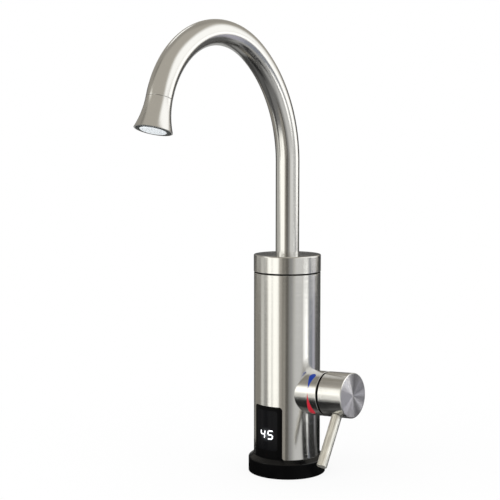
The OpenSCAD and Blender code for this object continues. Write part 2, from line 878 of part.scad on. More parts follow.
module nozzle_bell() {
    color([0.72, 0.7, 0.66]) on_nozzle() rotate_extrude() difference() {
        square([bell_d / 2, bell_len]);
        translate([tube_r + flare_r, 0]) circle(r = flare_r, $fn = 360);
        polygon([
            [-1, -1], [tube_in, -1], [tube_in, 4], [insert_d / 2 - 3, bell_len - aerator_depth - 3],
            [insert_d / 2 - 1.2, bell_len - aerator_depth], [aerator_r, bell_len - 3],
            [aerator_r, bell_len + 1], [-1, bell_len + 1]]);
    }
}

module aerator_housing() {
    low = bell_len - 3 + seat_gap;
    color([0.13, 0.14, 0.15]) on_nozzle() rotate_extrude() polygon([
        [insert_d / 2, low], [aerator_r - slide_gap, low], [aerator_r - slide_gap, bell_len - 0.3],
        [aerator_r - 0.5, bell_len], [insert_d / 2 + 0.3, bell_len], [insert_d / 2, bell_len - 0.3]]);
}

module aerator_insert() {
    pitch = (insert_d / 2 - 2) / (jet_rings + 0.2);
    color([0.88, 0.92, 0.97]) on_nozzle() difference() {
        turned(insert_d / 2 - slide_gap, bell_len - 2, bell_len + insert_proud, 0, 0.4);
        bar(jet_d / 2, bell_len - 3, bell_len + 2);
        for (ring = [1:jet_rings], k = [0:6 * ring - 1])
            rotate([0, 0, 60 * k / ring]) translate([ring * pitch, 0, 0])
                bar(jet_d / 2, bell_len - 3, bell_len + 2);
    }
}

module aerator_washer() {
    color([0.1, 0.1, 0.1]) on_nozzle()
        pipe(insert_d / 2 - 0.4, insert_d / 2 - 2.6, bell_len - 4, bell_len - 2);
}

module spout_connector() {
    color([0.74, 0.57, 0.26]) difference() {
        union() {
            bar(connector_r, oring_z[0] - 2.2, tube_low + eps);
            bar(tube_in - slide_gap, tube_low, cap_top);
        }
        bar(5.5, 0, cap_top + 1);
        for (z = oring_z) pipe(connector_r + 1, connector_r - 1.2, z - 1.1, z + 1.1);
        pipe(connector_r + 1, connector_r - 0.9, clip_top - clip_t - slide_gap, clip_top + slide_gap);
    }
}

module spout_orings() {
    color([0.06, 0.06, 0.06]) for (z = oring_z) translate([0, 0, z]) rotate_extrude()
        translate([neck_bore - slide_gap - oring_d / 2, 0]) circle(d = oring_d);
}

module retaining_ring() {
    color([0.5, 0.5, 0.5]) difference() {
        pipe(neck_bore + 2.4, connector_r - 0.85, clip_top - clip_t, clip_top);
        translate([0, -2.5, 0]) cube([far, 5, far]);
    }
}

module inlet_shank() {
    color([0.76, 0.6, 0.28]) difference() {
        union() {
            turned(shank_r, -shank_len, floor_t + eps, 1, 0);
            bar(shank_collar_r, floor_t, floor_t + 2.5);
            bar(riser_r, floor_t, riser_top);
        }
        bar(water_r, -shank_len - 1, riser_top + 1);
        bar(7, -shank_len - 1, -shank_len + hose_thread);
        translate([0, gland_y, 0]) bar(gland_lip_r + seat_gap, floor_t - 1, floor_t + 3);
        pipe(shank_r + 1, shank_r - relief_t, -shank_len + hose_thread, -shank_len + hose_thread + relief_w);
    }
}

module deck_gasket() {
    color([0.08, 0.08, 0.08]) pipe(gasket_out - slide_gap, gasket_in + slide_gap, 0, gasket_depth);
}

// A clamping washer with a notch at the back for the cord
module clamp_plate(low, high, r) {
    difference() {
        pipe(r, shank_r + seat_gap, low, high);
        translate([-notch_w / 2, 0, low - 1]) cube([notch_w, far, high - low + 2]);
    }
}

module clamp_gasket() {
    color([0.1, 0.1, 0.1]) clamp_plate(-deck_t - rubber_t, -deck_t, washer_d / 2);
}

module clamp_washer() {
    top = -deck_t - rubber_t;
    color([0.72, 0.72, 0.7]) clamp_plate(top - steel_t, top, washer_d / 2 - 1);
}

module lock_nut() {
    top = -deck_t - rubber_t - steel_t;
    color([0.76, 0.6, 0.28]) difference() {
        translate([0, 0, top - nut_t]) cylinder(r = nut_af / 2 / cos(30), h = nut_t, $fn = 6);
        bar(shank_r + slide_gap, top - nut_t - 1, top + 1);
    }
}

module cable_gland() {
    color([0.07, 0.07, 0.07]) translate([0, gland_y, 0]) difference() {
        union() {
            bar(gland_r, 0.3, floor_t + eps);
            bar(gland_lip_r, floor_t, floor_t + gland_lip_t);
        }
        bar(cord_d / 2, -1, floor_t + gland_lip_t + 1);
    }
}

module base_screws() {
    color([0.6, 0.6, 0.6]) screw_places() difference() {
        union() {
            bar(screw_head_r, screw_recess, screw_recess + screw_head_t);
            bar(screw_r, screw_recess, screw_top);
        }
        for (a = [0, 90]) rotate([0, 0, a]) translate([-1.8, -0.35, -1]) cube([3.6, 0.7, 2]);
    }
}

base_flange();
display_window();
display_digits();
display_module();
control_board();
power_board();
body_shell();
cap_seal();
top_cap();
swivel_bush();
valve_collar();
blue_mark();
red_mark();
hub_wear_ring();
inner_sleeve();
heater_cup();
heater_cover();
heater_gasket();
heater_coil();
thermal_cutout();
temperature_sensor();
heater_pipe();
valve_body();
valve_cartridge();
ceramic_seat();
cartridge_nut();
membrane();
membrane_cover();
micro_switch();
inlet_shank();
deck_gasket();
clamp_gasket();
clamp_washer();
lock_nut();
cable_gland();
base_screws();
spout_tube();
nozzle_bell();
aerator_housing();
aerator_insert();
aerator_washer();
spout_connector();
spout_orings();
retaining_ring();
handle_hub();
lever_rod();
cartridge_spindle();
ceramic_rotor();
switch_plunger();
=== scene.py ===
"""Looks of an electric instant water heater tap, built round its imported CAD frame.

Sizes in the classes are in millimetres, as in part.scad, and meshes are made in metres.
The row frame has +Z up, -Y to the front of the display and +X to the valve.
"""

import logging
import math
from dataclasses import dataclass, field
from enum import Enum
from typing import Callable, Optional, Protocol, Sequence, Union

import bpy
import numpy as np
from mathutils import Matrix, Vector


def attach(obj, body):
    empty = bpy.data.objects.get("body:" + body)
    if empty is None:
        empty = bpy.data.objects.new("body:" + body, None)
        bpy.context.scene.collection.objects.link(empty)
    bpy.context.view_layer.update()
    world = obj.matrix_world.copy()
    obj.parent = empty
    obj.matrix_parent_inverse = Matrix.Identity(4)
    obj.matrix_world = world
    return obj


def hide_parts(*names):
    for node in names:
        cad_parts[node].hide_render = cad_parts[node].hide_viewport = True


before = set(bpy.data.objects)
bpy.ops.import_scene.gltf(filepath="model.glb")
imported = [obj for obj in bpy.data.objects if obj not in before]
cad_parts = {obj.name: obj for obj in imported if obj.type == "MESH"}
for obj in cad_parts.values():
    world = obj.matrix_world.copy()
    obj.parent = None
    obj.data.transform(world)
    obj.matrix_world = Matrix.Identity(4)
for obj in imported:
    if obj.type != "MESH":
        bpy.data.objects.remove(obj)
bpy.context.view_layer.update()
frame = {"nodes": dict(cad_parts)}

log = logging.getLogger("tap")
logging.basicConfig(level=logging.INFO, format="%(message)s")

Array = np.ndarray
Colour = tuple[float, float, float]
Pair = tuple[float, float]
Material = bpy.types.Material
Object = bpy.types.Object
Warp = Callable[[Array, Array, Array], tuple[Array, Array]]
MM = 0.001
TURNED_MAP = "turned"
SHARP_EDGE = math.radians(32)


# Geometry


class Spine(Protocol):
    """A line in space that surfaces are turned round."""

    def at(self, s: Array) -> tuple[Array, Array, Array]:
        """Centre, side and up direction at each length s."""


@dataclass(frozen=True)
class Axis:
    """A straight spine with right-handed directions: side x up = out."""

    origin: Array
    side: Array
    up: Array
    out: Array

    @staticmethod
    def upright(origin: Sequence[float] = (0, 0, 0)) -> "Axis":
        """The body's own axis, on which s is the height, or one beside it."""
        side, up, out = np.eye(3)
        return Axis(np.array(origin, float), side, up, out)

    def at(self, s: Array) -> tuple[Array, Array, Array]:
        """centre = origin + s out; the directions stay the same."""
        centre = self.origin + np.asarray(s)[..., None] * self.out
        return centre, np.broadcast_to(self.side, centre.shape), np.broadcast_to(self.up, centre.shape)


@dataclass(frozen=True)
class Gooseneck:
    """The spout's centre line: upright to bend_z, an arc of radius_1, one of radius_2, then straight."""

    bend_z: float = 278.5
    radius_1: float = 113.5
    angle_1: float = math.radians(57)
    radius_2: float = 77.0
    sweep: float = math.radians(164)

    @property
    def length_1(self) -> float:
        """Length at which the second arc starts."""
        return self.bend_z + self.radius_1 * self.angle_1

    @property
    def end(self) -> float:
        """Length at which the second arc ends."""
        return self.length_1 + self.radius_2 * (self.sweep - self.angle_1)

    def at(self, s: Array) -> tuple[Array, Array, Array]:
        """The direction turns by ds / radius on each arc, and the centre lies on that arc's circle."""
        s = np.asarray(s, float)
        first = np.clip((s - self.bend_z) / self.radius_1, 0, self.angle_1)
        second = np.clip((s - self.length_1) / self.radius_2, 0, self.sweep - self.angle_1)
        turn = first + second
        y = self.radius_1 * (np.cos(first) - 1) + self.radius_2 * (np.cos(turn) - np.cos(first))
        z = self.radius_1 * np.sin(first) + self.radius_2 * (np.sin(turn) - np.sin(first))
        z = z + np.minimum(s, self.bend_z)
        past = np.maximum(s - self.end, 0)
        centre = np.stack([0 * s, y - past * np.sin(turn), z + past * np.cos(turn)], -1)
        up = np.stack([0 * s, np.cos(turn), np.sin(turn)], -1)
        return centre, np.broadcast_to([1.0, 0, 0], centre.shape), up


def unit(v: Array) -> Array:
    """The vector at length 1."""
    return v / np.linalg.norm(v)


def rounded(corners: Sequence[tuple[float, float, float]], closed: bool = True, steps: int = 6,
            support: float = 0.35) -> Array:
    """A profile with rounded corners.

    Args:
        corners: (s, r, radius) of each corner; a radius of 0 leaves it sharp.
        closed: Whether the last corner joins the first.
        steps: Points on a rounded corner, less one.
        support: How far past each rounding a point holds the flat beside it.

    Returns:
        Points (s, r), one row each.
    """
    flat = np.array([c[:2] for c in corners], float)
    points: list[Array] = []
    for k, (_, _, radius) in enumerate(corners):
        here = flat[k]
        if radius <= 0 or (not closed and k in (0, len(corners) - 1)):
            points.append(here[None])
            continue
        a, b = unit(flat[k - 1] - here), unit(flat[(k + 1) % len(flat)] - here)
        half = math.acos(float(np.clip(a @ b, -1, 1))) / 2
        cut = radius / math.tan(half)
        middle = here + unit(a + b) * radius / math.sin(half)
        start, stop = here + a * cut - middle, here + b * cut - middle
        w = np.linspace(0, 1, steps + 1)[:, None]
        bow = math.pi - 2 * half
        ring = (np.sin((1 - w) * bow) * start + np.sin(w * bow) * stop) / math.sin(bow)
        points += [(here + a * (cut + support))[None], middle + ring, (here + b * (cut + support))[None]]
    return np.concatenate(points)


def divided(profile: Array, step: float, closed: bool = True) -> Array:
    """The profile with points added so that none lie further apart than step."""
    ends = np.concatenate([profile, profile[:1]]) if closed else profile
    gaps = np.linalg.norm(np.diff(ends, axis=0), axis=1)
    counts = np.maximum(np.ceil(gaps / step).astype(int), 1)
    pieces = [a + (b - a) * (np.arange(n) / n)[:, None] for a, b, n in zip(ends[:-1], ends[1:], counts)]
    return np.concatenate(pieces if closed else pieces + [ends[-1:]])


def grid_mesh(name: str, points: Array, lengths: Array, wrap: bool) -> Object:
    """A closed surface from a grid of points.

    Args:
        name: Name of the new object.
        points: (turns, rows, 3) in mm; turns always join up.
        lengths: Distance of each row along its profile, one more than the rows if they wrap.
        wrap: Whether the last row joins the first; if not, the first and last row are poles.

    Returns:
        The object, with a UV map of (share of a turn, length in mm).
    """
    turns, rows = points.shape[:2]
    i, j = np.meshgrid(np.arange(turns), np.arange(rows if wrap else rows - 1), indexing="ij")
    i, j = i.ravel(), j.ravel()
    i2, j2 = (i + 1) % turns, (j + 1) % rows
    corner = np.stack([i * rows + j, i2 * rows + j, i2 * rows + j2, i * rows + j2], 1)
    uv = np.stack([np.stack([i, i + 1, i + 1, i], 1) / turns,
                   np.stack([lengths[j], lengths[j], lengths[j + 1], lengths[j + 1]], 1)], -1)
    vertices = points.reshape(-1, 3) * MM
    groups, maps = [corner], [uv]
    if not wrap:
        first, last = j == 0, j == rows - 2
        sides = ~(first | last)
        low = np.stack([0 * i, corner[:, 2], corner[:, 3]], 1)[first]
        high = np.stack([corner[:, 0], corner[:, 1], 0 * i + rows - 1], 1)[last]
        groups = [corner[sides], low, high]
        maps = [uv[sides], uv[first][:, [0, 2, 3]], uv[last][:, :3]]
        used = np.unique(np.concatenate([group.ravel() for group in groups]))
        place = np.zeros(len(vertices), int)
        place[used] = np.arange(len(used))
        groups = [place[group] for group in groups]
        vertices = vertices[used]
    mesh = bpy.data.meshes.new(name)
    mesh.from_pydata(vertices.tolist(), [], [face for group in groups for face in group.tolist()])
    layer = mesh.uv_layers.new(name=TURNED_MAP)
    flat = np.concatenate([part.reshape(-1, 2) for part in maps])
    layer.data.foreach_set("uv", flat.astype(np.float32).ravel())
    return finished(name, mesh)


def finished(name: str, mesh: bpy.types.Mesh) -> Object:
    """Links a mesh as an object, smooth but for its sharp edges."""
    mesh.validate()
    mesh.shade_smooth()
    mesh.set_sharp_from_angle(angle=SHARP_EDGE)
    return linked(name, mesh)


def linked(name: str, data: bpy.types.ID) -> Object:
    """A new object with this data, in the scene."""
    thing = bpy.data.objects.new(name, data)
    bpy.context.scene.collection.objects.link(thing)
    return thing


def around(name: str, spine: Spine, profile: Array, turns: int, warp: Optional[Warp] = None) -> Object:
    """A profile turned round a spine: point = centre(s) + r (cos a side + sin a up).

    Args:
        name: Name of the new object.
        spine: The line that it is turned round.
        profile: Points (s, r). Its ends are poles if both lie on the spine, else they are joined.
        turns: Points in a full turn.
        warp: Changes the grids of s and r, given the angle a.

    Returns:
        The object.
    """
    wrap = not (profile[0, 1] == 0 and profile[-1, 1] == 0)
    if wrap:
        s, r = profile.T
        if float(np.sum(s * np.roll(r, -1) - np.roll(s, -1) * r)) > 0:
            profile = profile[::-1]
    ends = np.concatenate([profile, profile[:1]]) if wrap else profile
    lengths = np.concatenate([[0], np.cumsum(np.linalg.norm(np.diff(ends, axis=0), axis=1))])
    a, s = np.meshgrid(np.arange(turns) / turns * 2 * math.pi, profile[:, 0], indexing="ij")
    r = np.broadcast_to(profile[:, 1], s.shape)
    if warp:
        s, r = warp(a, s, r)
    centre, side, up = spine.at(s)
    points = centre + r[..., None] * (np.cos(a)[..., None] * side + np.sin(a)[..., None] * up)
    return grid_mesh(name, points, lengths, wrap)


def pipe(radius: float, bore: float, low: float, high: float, rim: float) -> Array:
    """Profile of a hollow bar with rounded rims."""
    return rounded([(low, radius, rim), (high, radius, rim), (high, bore, rim), (low, bore, rim)])


def signed_power(x: Array, power: float) -> Array:
    """sign(x) |x|^power, which squares off a circle's sine or cosine where the power is below 1."""
    return np.sign(x) * np.abs(x) ** power


# Shader graph

Operand = Union["Wire", float]


class Wire:
    """One output of a node. Its operators add Math nodes."""

    def __init__(self, graph: "Graph", socket: bpy.types.NodeSocket) -> None:
        """Keeps the graph that new nodes go to."""
        self.graph, self.socket = graph, socket

    def __add__(self, other: Operand) -> "Wire":
        """self + other"""
        return self.graph.math("ADD", self, other)

    def __sub__(self, other: Operand) -> "Wire":
        """self - other"""
        return self.graph.math("SUBTRACT", self, other)

    def __rsub__(self, other: Operand) -> "Wire":
        """other - self"""
        return self.graph.math("SUBTRACT", other, self)

    def __mul__(self, other: Operand) -> "Wire":
        """self * other"""
        return self.graph.math("MULTIPLY", self, other)

    def __pow__(self, other: Operand) -> "Wire":
        """self ** other"""
        return self.graph.math("POWER", self, other)

    __radd__ = __add__
    __rmul__ = __mul__

    def clamped(self) -> "Wire":
        """self held between 0 and 1"""
        return self.graph.add("ShaderNodeClamp", {}, {0: self})


class Graph:
    """The node tree of a material or of the world, made from nothing."""

    def __init__(self, owner: bpy.types.ID, output: str = "ShaderNodeOutputMaterial") -> None:
        """Empties the owner's tree and adds an output of this type."""
        owner.use_nodes = True
        self.owner, self.tree = owner, owner.node_tree
        self.tree.nodes.clear()
        self.output = self.tree.nodes.new(output)

    @staticmethod
    def of_material(name: str) -> "Graph":
        """The tree of a new material."""
        return Graph(bpy.data.materials.new(name))

    def add(self, kind: str, settings: dict, inputs: dict, output: Union[int, str] = 0) -> Wire:
        """Adds a node.

        Args:
            kind: The node's type.
            settings: Its attributes.
            inputs: Its inputs by name or number; a Wire is linked and a number set.
            output: The output that the returned Wire stands for.

        Returns:
            That output.
        """
        node = self.tree.nodes.new(kind)
        for key, value in settings.items():
            setattr(node, key, value)
        for key, value in inputs.items():
            if isinstance(value, Wire):
                self.tree.links.new(value.socket, node.inputs[key])
            else:
                node.inputs[key].default_value = value
        return Wire(self, node.outputs[output])

    def math(self, operation: str, *inputs: Operand) -> Wire:
        """A Math node on these inputs."""
        return self.add("ShaderNodeMath", {"operation": operation}, dict(enumerate(inputs)))

    def vector_math(self, operation: str, *inputs: Wire) -> Wire:
        """A Vector Math node on these inputs."""
        return self.add("ShaderNodeVectorMath", {"operation": operation}, dict(enumerate(inputs)))

    def split(self, vector: Wire) -> tuple[Wire, Wire, Wire]:
        """The vector's x, y and z."""
        x = self.add("ShaderNodeSeparateXYZ", {}, {0: vector})
        _, y, z = x.socket.node.outputs
        return x, Wire(self, y), Wire(self, z)

    def join(self, x: Operand, y: Operand, z: Operand) -> Wire:
        """A vector of three values."""
        return self.add("ShaderNodeCombineXYZ", {}, {0: x, 1: y, 2: z})

    def place(self) -> Wire:
        """Object coordinates in metres."""
        return self.add("ShaderNodeTexCoord", {}, {}, "Object")

    def facing(self) -> Wire:
        """The surface's normal."""
        return self.add("ShaderNodeNewGeometry", {}, {}, "Normal")

    def noise(self, vector: Wire, scale: float = 1, detail: float = 2, rough: float = 0.5) -> Wire:
        """Noise from 0 to 1 at a vector."""
        return self.add("ShaderNodeTexNoise", {}, {"Vector": vector, "Scale": scale, "Detail": detail,
                                                   "Roughness": rough}, "Fac")

    def blend(self, share: Operand, a: Colour, b: Colour) -> Wire:
        """A colour between a and b."""
        return self.add("ShaderNodeMixRGB", {}, {0: share, 1: (*a, 1), 2: (*b, 1)})

    def bump(self, height: Wire, depth: float) -> Wire:
        """A normal from a height; depth is the height's 0 to 1 in metres."""
        return self.add("ShaderNodeBump", {}, {"Strength": 1.0, "Distance": depth, "Height": height})

    def glow(self, colour: Union[Wire, tuple], strength: float = 1.0) -> Wire:
        """An Emission shader."""
        return self.add("ShaderNodeEmission", {}, {"Color": colour, "Strength": strength})

    def end(self, shader: Wire) -> None:
        """Links the shader to the output."""
        self.tree.links.new(shader.socket, self.output.inputs["Surface"])

    def surface(self, **inputs: Union[Operand, tuple]) -> Material:
        """Ends the tree in a Principled BSDF with these inputs; an underscore stands for a space."""
        names = {key.replace("_", " "): value for key, value in inputs.items()}
        self.end(self.add("ShaderNodeBsdfPrincipled", {}, names))
        return self.owner


# Finishes

STAINLESS: Colour = (0.594, 0.588, 0.572)

# How far the streaks and the clouds of a metal vary its gloss
STREAK_GLOSS = 0.08
CLOUD_GLOSS = 0.03


def shades(tint: Colour, drift: float) -> tuple[Colour, Colour]:
    """The tint made darker and lighter by the share drift, at most 1."""
    return tuple(c * (1 - drift) for c in tint), tuple(min(c * (1 + drift), 1) for c in tint)


class Grain(Enum):
    """Which way a metal's lines run."""

    ROUND = "round the piece's axis"
    ALONG = "along the piece"
    NONE = "no direction"


class Finish(Protocol):
    """A surface finish that can make its material."""

    slot: str

    def material(self) -> Material:
        """The finish's material."""


@dataclass(frozen=True)
class PaintedReflectionWedge:
    """A wedge of a lathe-turned face, painted lighter or darker than the rest in its colour: a painted
    reflection of the light that its grooves would catch.
    """

    clock: float
    width: float
    gain: float

    def shade(self, u: Wire) -> Wire:
        """The painted light at the wedge's middle, by its gain: lighter where the gain is positive and darker
        where it is negative, falling to nothing at its sides.

        The clock angle counts in degrees clockwise from 12, and u grows the other way from 6.
        """
        g = u.graph
        off = g.math("ABSOLUTE", g.math("WRAP", u - (0.5 - self.clock / 360), 0.5, -0.5))
        return (1 - off * (720 / self.width)).clamped() ** 0.6 * self.gain


@dataclass(frozen=True)
class Steel:
    """Stainless steel with a grain, on pieces that carry the turned UV map.

    The grain is a spread of tiny slopes across its lines, so that a highlight smears across them,
    with coarser streaks that vary the gloss and the tint. Noise strays about 0.1 from its mean,
    so a slope of 1 leans the surface by about 11 degrees either way.
    """

    name: str
    slot: str
    tint: Colour = STAINLESS
    gloss: float = 0.22
    grain: Grain = Grain.ROUND
    slope: float = 0.25
    streak: float = 0.06
    contrast: float = 1.0
    # Wedges of painted highlight and painted shade laid into the colour, and the length along the profile
    # where they start
    painted_fan: tuple[PaintedReflectionWedge, ...] = ()
    painted_fan_from: float = 0.0

    def material(self) -> Material:
        """Grain from noise that is fine across the lines and long along them."""
        g = Graph.of_material(self.name)
        u, v, _ = g.split(g.add("ShaderNodeTexCoord", {}, {}, "UV"))
        angle = u * (2 * math.pi)
        x, y = g.math("COSINE", angle), g.math("SINE", angle)
        around_k, along_k = (1.6, 6.0) if self.grain is Grain.ROUND else (5.0, 0.02)
        finer = 7.0
        coarse = g.noise(g.join(x * around_k, y * around_k, v * along_k), detail=4, rough=0.65)
        lines = g.noise(g.join(x * around_k * finer, y * around_k * finer, v * along_k * finer))
        cloud = g.noise(g.join(x * 2, y * 2, v * 0.07))
        across = (lines - 0.5) * self.slope + 0.5
        slopes = g.join(0.5, across, 1.0) if self.grain is Grain.ROUND else g.join(across, 0.5, 1.0)
        normal = g.add("ShaderNodeNormalMap", {"uv_map": TURNED_MAP}, {"Strength": 1.0, "Color": slopes})
        share = ((coarse * 0.7 + cloud * 0.3 - 0.5) * self.contrast + 0.5).clamped()
        colour = g.blend(share, *shades(self.tint, self.streak))
        gloss = self.gloss + (coarse - 0.5) * STREAK_GLOSS
        # Painted reflections: the fan's wedges lighten or darken the colour itself
        if self.painted_fan:
            colour = self.with_painted_fan(colour, u, v)
        else:
            gloss = gloss + (cloud - 0.5) * CLOUD_GLOSS
        return g.surface(Base_Color=colour, Metallic=1.0, Roughness=gloss, Normal=normal)

    def with_painted_fan(self, colour: Wire, u: Wire, v: Wire) -> Wire:
        """The colour times 1 plus the sum of the painted reflection wedges, where v is past painted_fan_from:
        painted highlights and painted shade laid into the colour.
        """
        on_face = ((v - self.painted_fan_from) * 4).clamped()
        # lift is painted light: the wedges' painted highlights and painted shade as a factor on the colour
        lift = 1 + sum((wedge.shade(u) for wedge in self.painted_fan), 0.0) * on_face
        return colour.graph.vector_math("MULTIPLY", colour, colour.graph.join(lift, lift, lift))


@dataclass(frozen=True)
class Metal:
    """A metal on Object coordinates: brushed round the upright axis, or plain."""

    name: str
    slot: str
    tint: Colour = STAINLESS
    gloss: float = 0.3
    grain: Grain = Grain.NONE
    slope: float = 0.0
    streak: float = 0.05
    depth: float = 0.000006

    def material(self) -> Material:
        """Streaks that are thin in height and long round the piece.

        A brushed normal is unit(normal + up slope (noise - 0.5)); a plain metal has a faint bump instead.
        """
        g = Graph.of_material(self.name)
        x, y, z = g.split(g.place())
        wide, high = (25.0, 2400.0) if self.grain is Grain.ROUND else (900.0, 900.0)
        streaks = g.noise(g.join(x * wide, y * wide, z * high), detail=4, rough=0.65)
        cloud = g.noise(g.join(x * 60, y * 60, z * 60), detail=3)
        if self.grain is Grain.ROUND:
            lines = g.noise(g.join(x * wide * 3, y * wide * 3, z * high * 6))
            lift = g.join(0.0, 0.0, (lines - 0.5) * self.slope)
            normal = g.vector_math("NORMALIZE", g.vector_math("ADD", g.facing(), lift))
        else:
            normal = g.bump(streaks, self.depth)
        colour = g.blend(streaks, *shades(self.tint, self.streak))
        gloss = self.gloss + (streaks - 0.5) * STREAK_GLOSS + (cloud - 0.5) * CLOUD_GLOSS
        return g.surface(Base_Color=colour, Metallic=1.0, Roughness=gloss, Normal=normal)


@dataclass(frozen=True)
class Moulded:
    """Plastic, rubber, ceramic or enamel: a tint that drifts a little, and a fine moulded texture."""

    slot: str
    tint: Colour
    gloss: float = 0.35
    drift: float = 0.12
    depth: float = 0.00001
    specular: float = 0.5
    polished_top: float = 0.0

    def material(self) -> Material:
        """Two scales of noise in Object coordinates; what faces up may carry a smoother coat."""
        g = Graph.of_material(self.slot)
        grit = g.noise(g.place(), 2500, 2)
        cloud = g.noise(g.place(), 70, 3)
        gloss = self.gloss + (grit - 0.5) * 0.10 + (cloud - 0.5) * 0.10
        coat: Operand = 0.0
        if self.polished_top:
            _, _, rise = g.split(g.facing())
            coat = ((rise - 0.25) * 4).clamped() * self.polished_top
        return g.surface(Base_Color=g.blend(cloud, *shades(self.tint, self.drift)), Roughness=gloss,
                         Coat_Weight=coat, Coat_Roughness=0.12, Specular_IOR_Level=self.specular,
                         Normal=g.bump(grit, self.depth))


@dataclass(frozen=True)
class SmokedLens:
    """The display's dark lens, with the soft glow of the lit digits; centre and reach are in metres."""

    slot: str = "smoked_lens"
    centre: Pair = (-0.0006, 0.0379)
    reach: Pair = (0.0095, 0.0075)

    def material(self) -> Material:
        """Glow = (1 - distance)^2, the distance being 1 on an oval round the digits' centre."""
        g = Graph.of_material(self.slot)
        x, _, z = g.split(g.place())
        across, up = (x - self.centre[0]) * (1 / self.reach[0]), (z - self.centre[1]) * (1 / self.reach[1])
        glow = (1 - (across * across + up * up) ** 0.5).clamped() ** 2.0
        grit = g.noise(g.place(), 1800, 2)
        return g.surface(Base_Color=g.blend(grit, (0.003, 0.003, 0.0035), (0.005, 0.005, 0.006)),
                         Roughness=0.16 + grit * 0.06, Specular_IOR_Level=0.05,
                         Emission_Color=g.blend(glow, (0, 0, 0), (0.13, 0.14, 0.15)),
                         Emission_Strength=1.0, Normal=g.bump(grit, 0.000001))


@dataclass(frozen=True)
class LitSegment:
    """White lit bars."""

    slot: str = "lit_segments"

    def material(self) -> Material:
        """A glow whose tint drifts a little by noise."""
        g = Graph.of_material(self.slot)
        drift = g.noise(g.place(), 900, 1)
        return g.surface(Base_Color=(0.8, 0.82, 0.85, 1), Roughness=0.3, Emission_Strength=1.0,
                         Emission_Color=g.blend(drift, (0.84, 0.88, 0.92), (0.93, 0.95, 0.96)))


@dataclass(frozen=True)
class SolderMask:
    """A green circuit board with copper tracks under its mask."""

    slot: str = "circuit_board"

    def material(self) -> Material:
        """Tracks lie where the distance to the nearest point of a cell pattern is large."""
        g = Graph.of_material(self.slot)
        cells = g.add("ShaderNodeTexVoronoi", {"distance": "MANHATTAN", "feature": "F1"},
                      {"Vector": g.place(), "Scale": 320.0}, "Distance")
        track = ((cells - 0.42) * 30).clamped()
        return g.surface(Base_Color=g.blend(track, (0.015, 0.13, 0.055), (0.05, 0.26, 0.12)),
                         Roughness=0.28 + track * 0.1, Normal=g.bump(track, 0.00003))


# Painted reflections on the hub's face, clockwise from 12: painted highlight wedges at -38, -132, 90 and 131
# degrees, painted shade wedges between
HUB_PAINTED_REFLECTIONS = (
    PaintedReflectionWedge(-38, 54, 0.68), PaintedReflectionWedge(-132, 30, 0.50), PaintedReflectionWedge(14, 66, -0.56), PaintedReflectionWedge(85, 200, -0.38),
    PaintedReflectionWedge(90, 26, 0.56), PaintedReflectionWedge(131, 30, 0.44), PaintedReflectionWedge(161, 46, -0.50))
# Length along the hub's profile at which its face starts
HUB_FACE_FROM = 48.0

STEEL_ROUND = Steel("steel_turned", "turned_steel", gloss=0.15, slope=0.18)
STEEL_SPOUT = Steel("steel_spout", "spout_steel", gloss=0.15, slope=0.15)
STEEL_BELL = Steel("steel_bell", "spout_steel", gloss=0.18, slope=0.15)
# Spun steel: its tint is a little lighter than STAINLESS, painted light on the hub, and its face carries the
# painted reflection wedges
STEEL_SPUN_PAINTED_LIGHT = Steel("steel_spun", "spun_steel", (0.62, 0.615, 0.60), 0.15, slope=0.42, streak=0.04,
                   painted_fan=HUB_PAINTED_REFLECTIONS, painted_fan_from=HUB_FACE_FROM)
# Lever steel: its tint is much lighter than STAINLESS, painted light that brightens the lever; its streaks
# are the grain's
STEEL_LEVER_PAINTED_LIGHT = Steel("steel_lever_painted_light", "spun_steel", (0.80, 0.79, 0.74), 0.40, Grain.ALONG, slope=0.3,
                    streak=0.24, contrast=5.0)
BRASS_TURNED = Steel("brass_turned", "brass_fitting", (0.72, 0.54, 0.26), 0.24, streak=0.05)
BLACK_SATIN = Moulded("black_plastic", (0.0015, 0.0015, 0.0017), 0.42,
                      depth=0.000004, specular=0.05, polished_top=0.4)
BLACK_RUBBER = Moulded("black_rubber", (0.003, 0.003, 0.003), 0.65, specular=0.06)
DARK_RING = Moulded("moulded_black", (0.028, 0.034, 0.032), 0.45)
WHITE_PLASTIC = Moulded("white_plastic", (0.90, 0.95, 1.0), 0.28, 0.03, 0.000001)
BLUE = Moulded("blue_enamel", (0.004, 0.034, 0.27), 0.35, 0.06, 0.000002, 0.3)
RED = Moulded("red_enamel", (0.54, 0.016, 0.034), 0.35, 0.06, 0.000002, 0.3)

CAD_FINISHES: tuple[Finish, ...] = (
    BLACK_SATIN, BLACK_RUBBER, DARK_RING, WHITE_PLASTIC, BLUE, RED, SmokedLens(), LitSegment(), SolderMask(),
    Metal("steel_body", "brushed_body", gloss=0.16, grain=Grain.ROUND, slope=0.36),
    Metal("steel_turned_cad", "turned_steel", gloss=0.2, grain=Grain.ROUND, slope=0.5),
    Metal("steel_spout_cad", "spout_steel", gloss=0.22),
    Metal("steel_spun_cad", "spun_steel", gloss=0.22),
    Metal("steel_plain", "plain_steel", (0.52, 0.52, 0.52), 0.32, depth=0.000008),
    Metal("element_sheath", "element_sheath", (0.30, 0.27, 0.24), 0.45, depth=0.00002),
    Metal("brass_cad", "brass_fitting", (0.70, 0.53, 0.25), 0.30, depth=0.000008),
    Moulded("white_ceramic", (0.83, 0.80, 0.74), 0.16, 0.03, 0.000002),
)


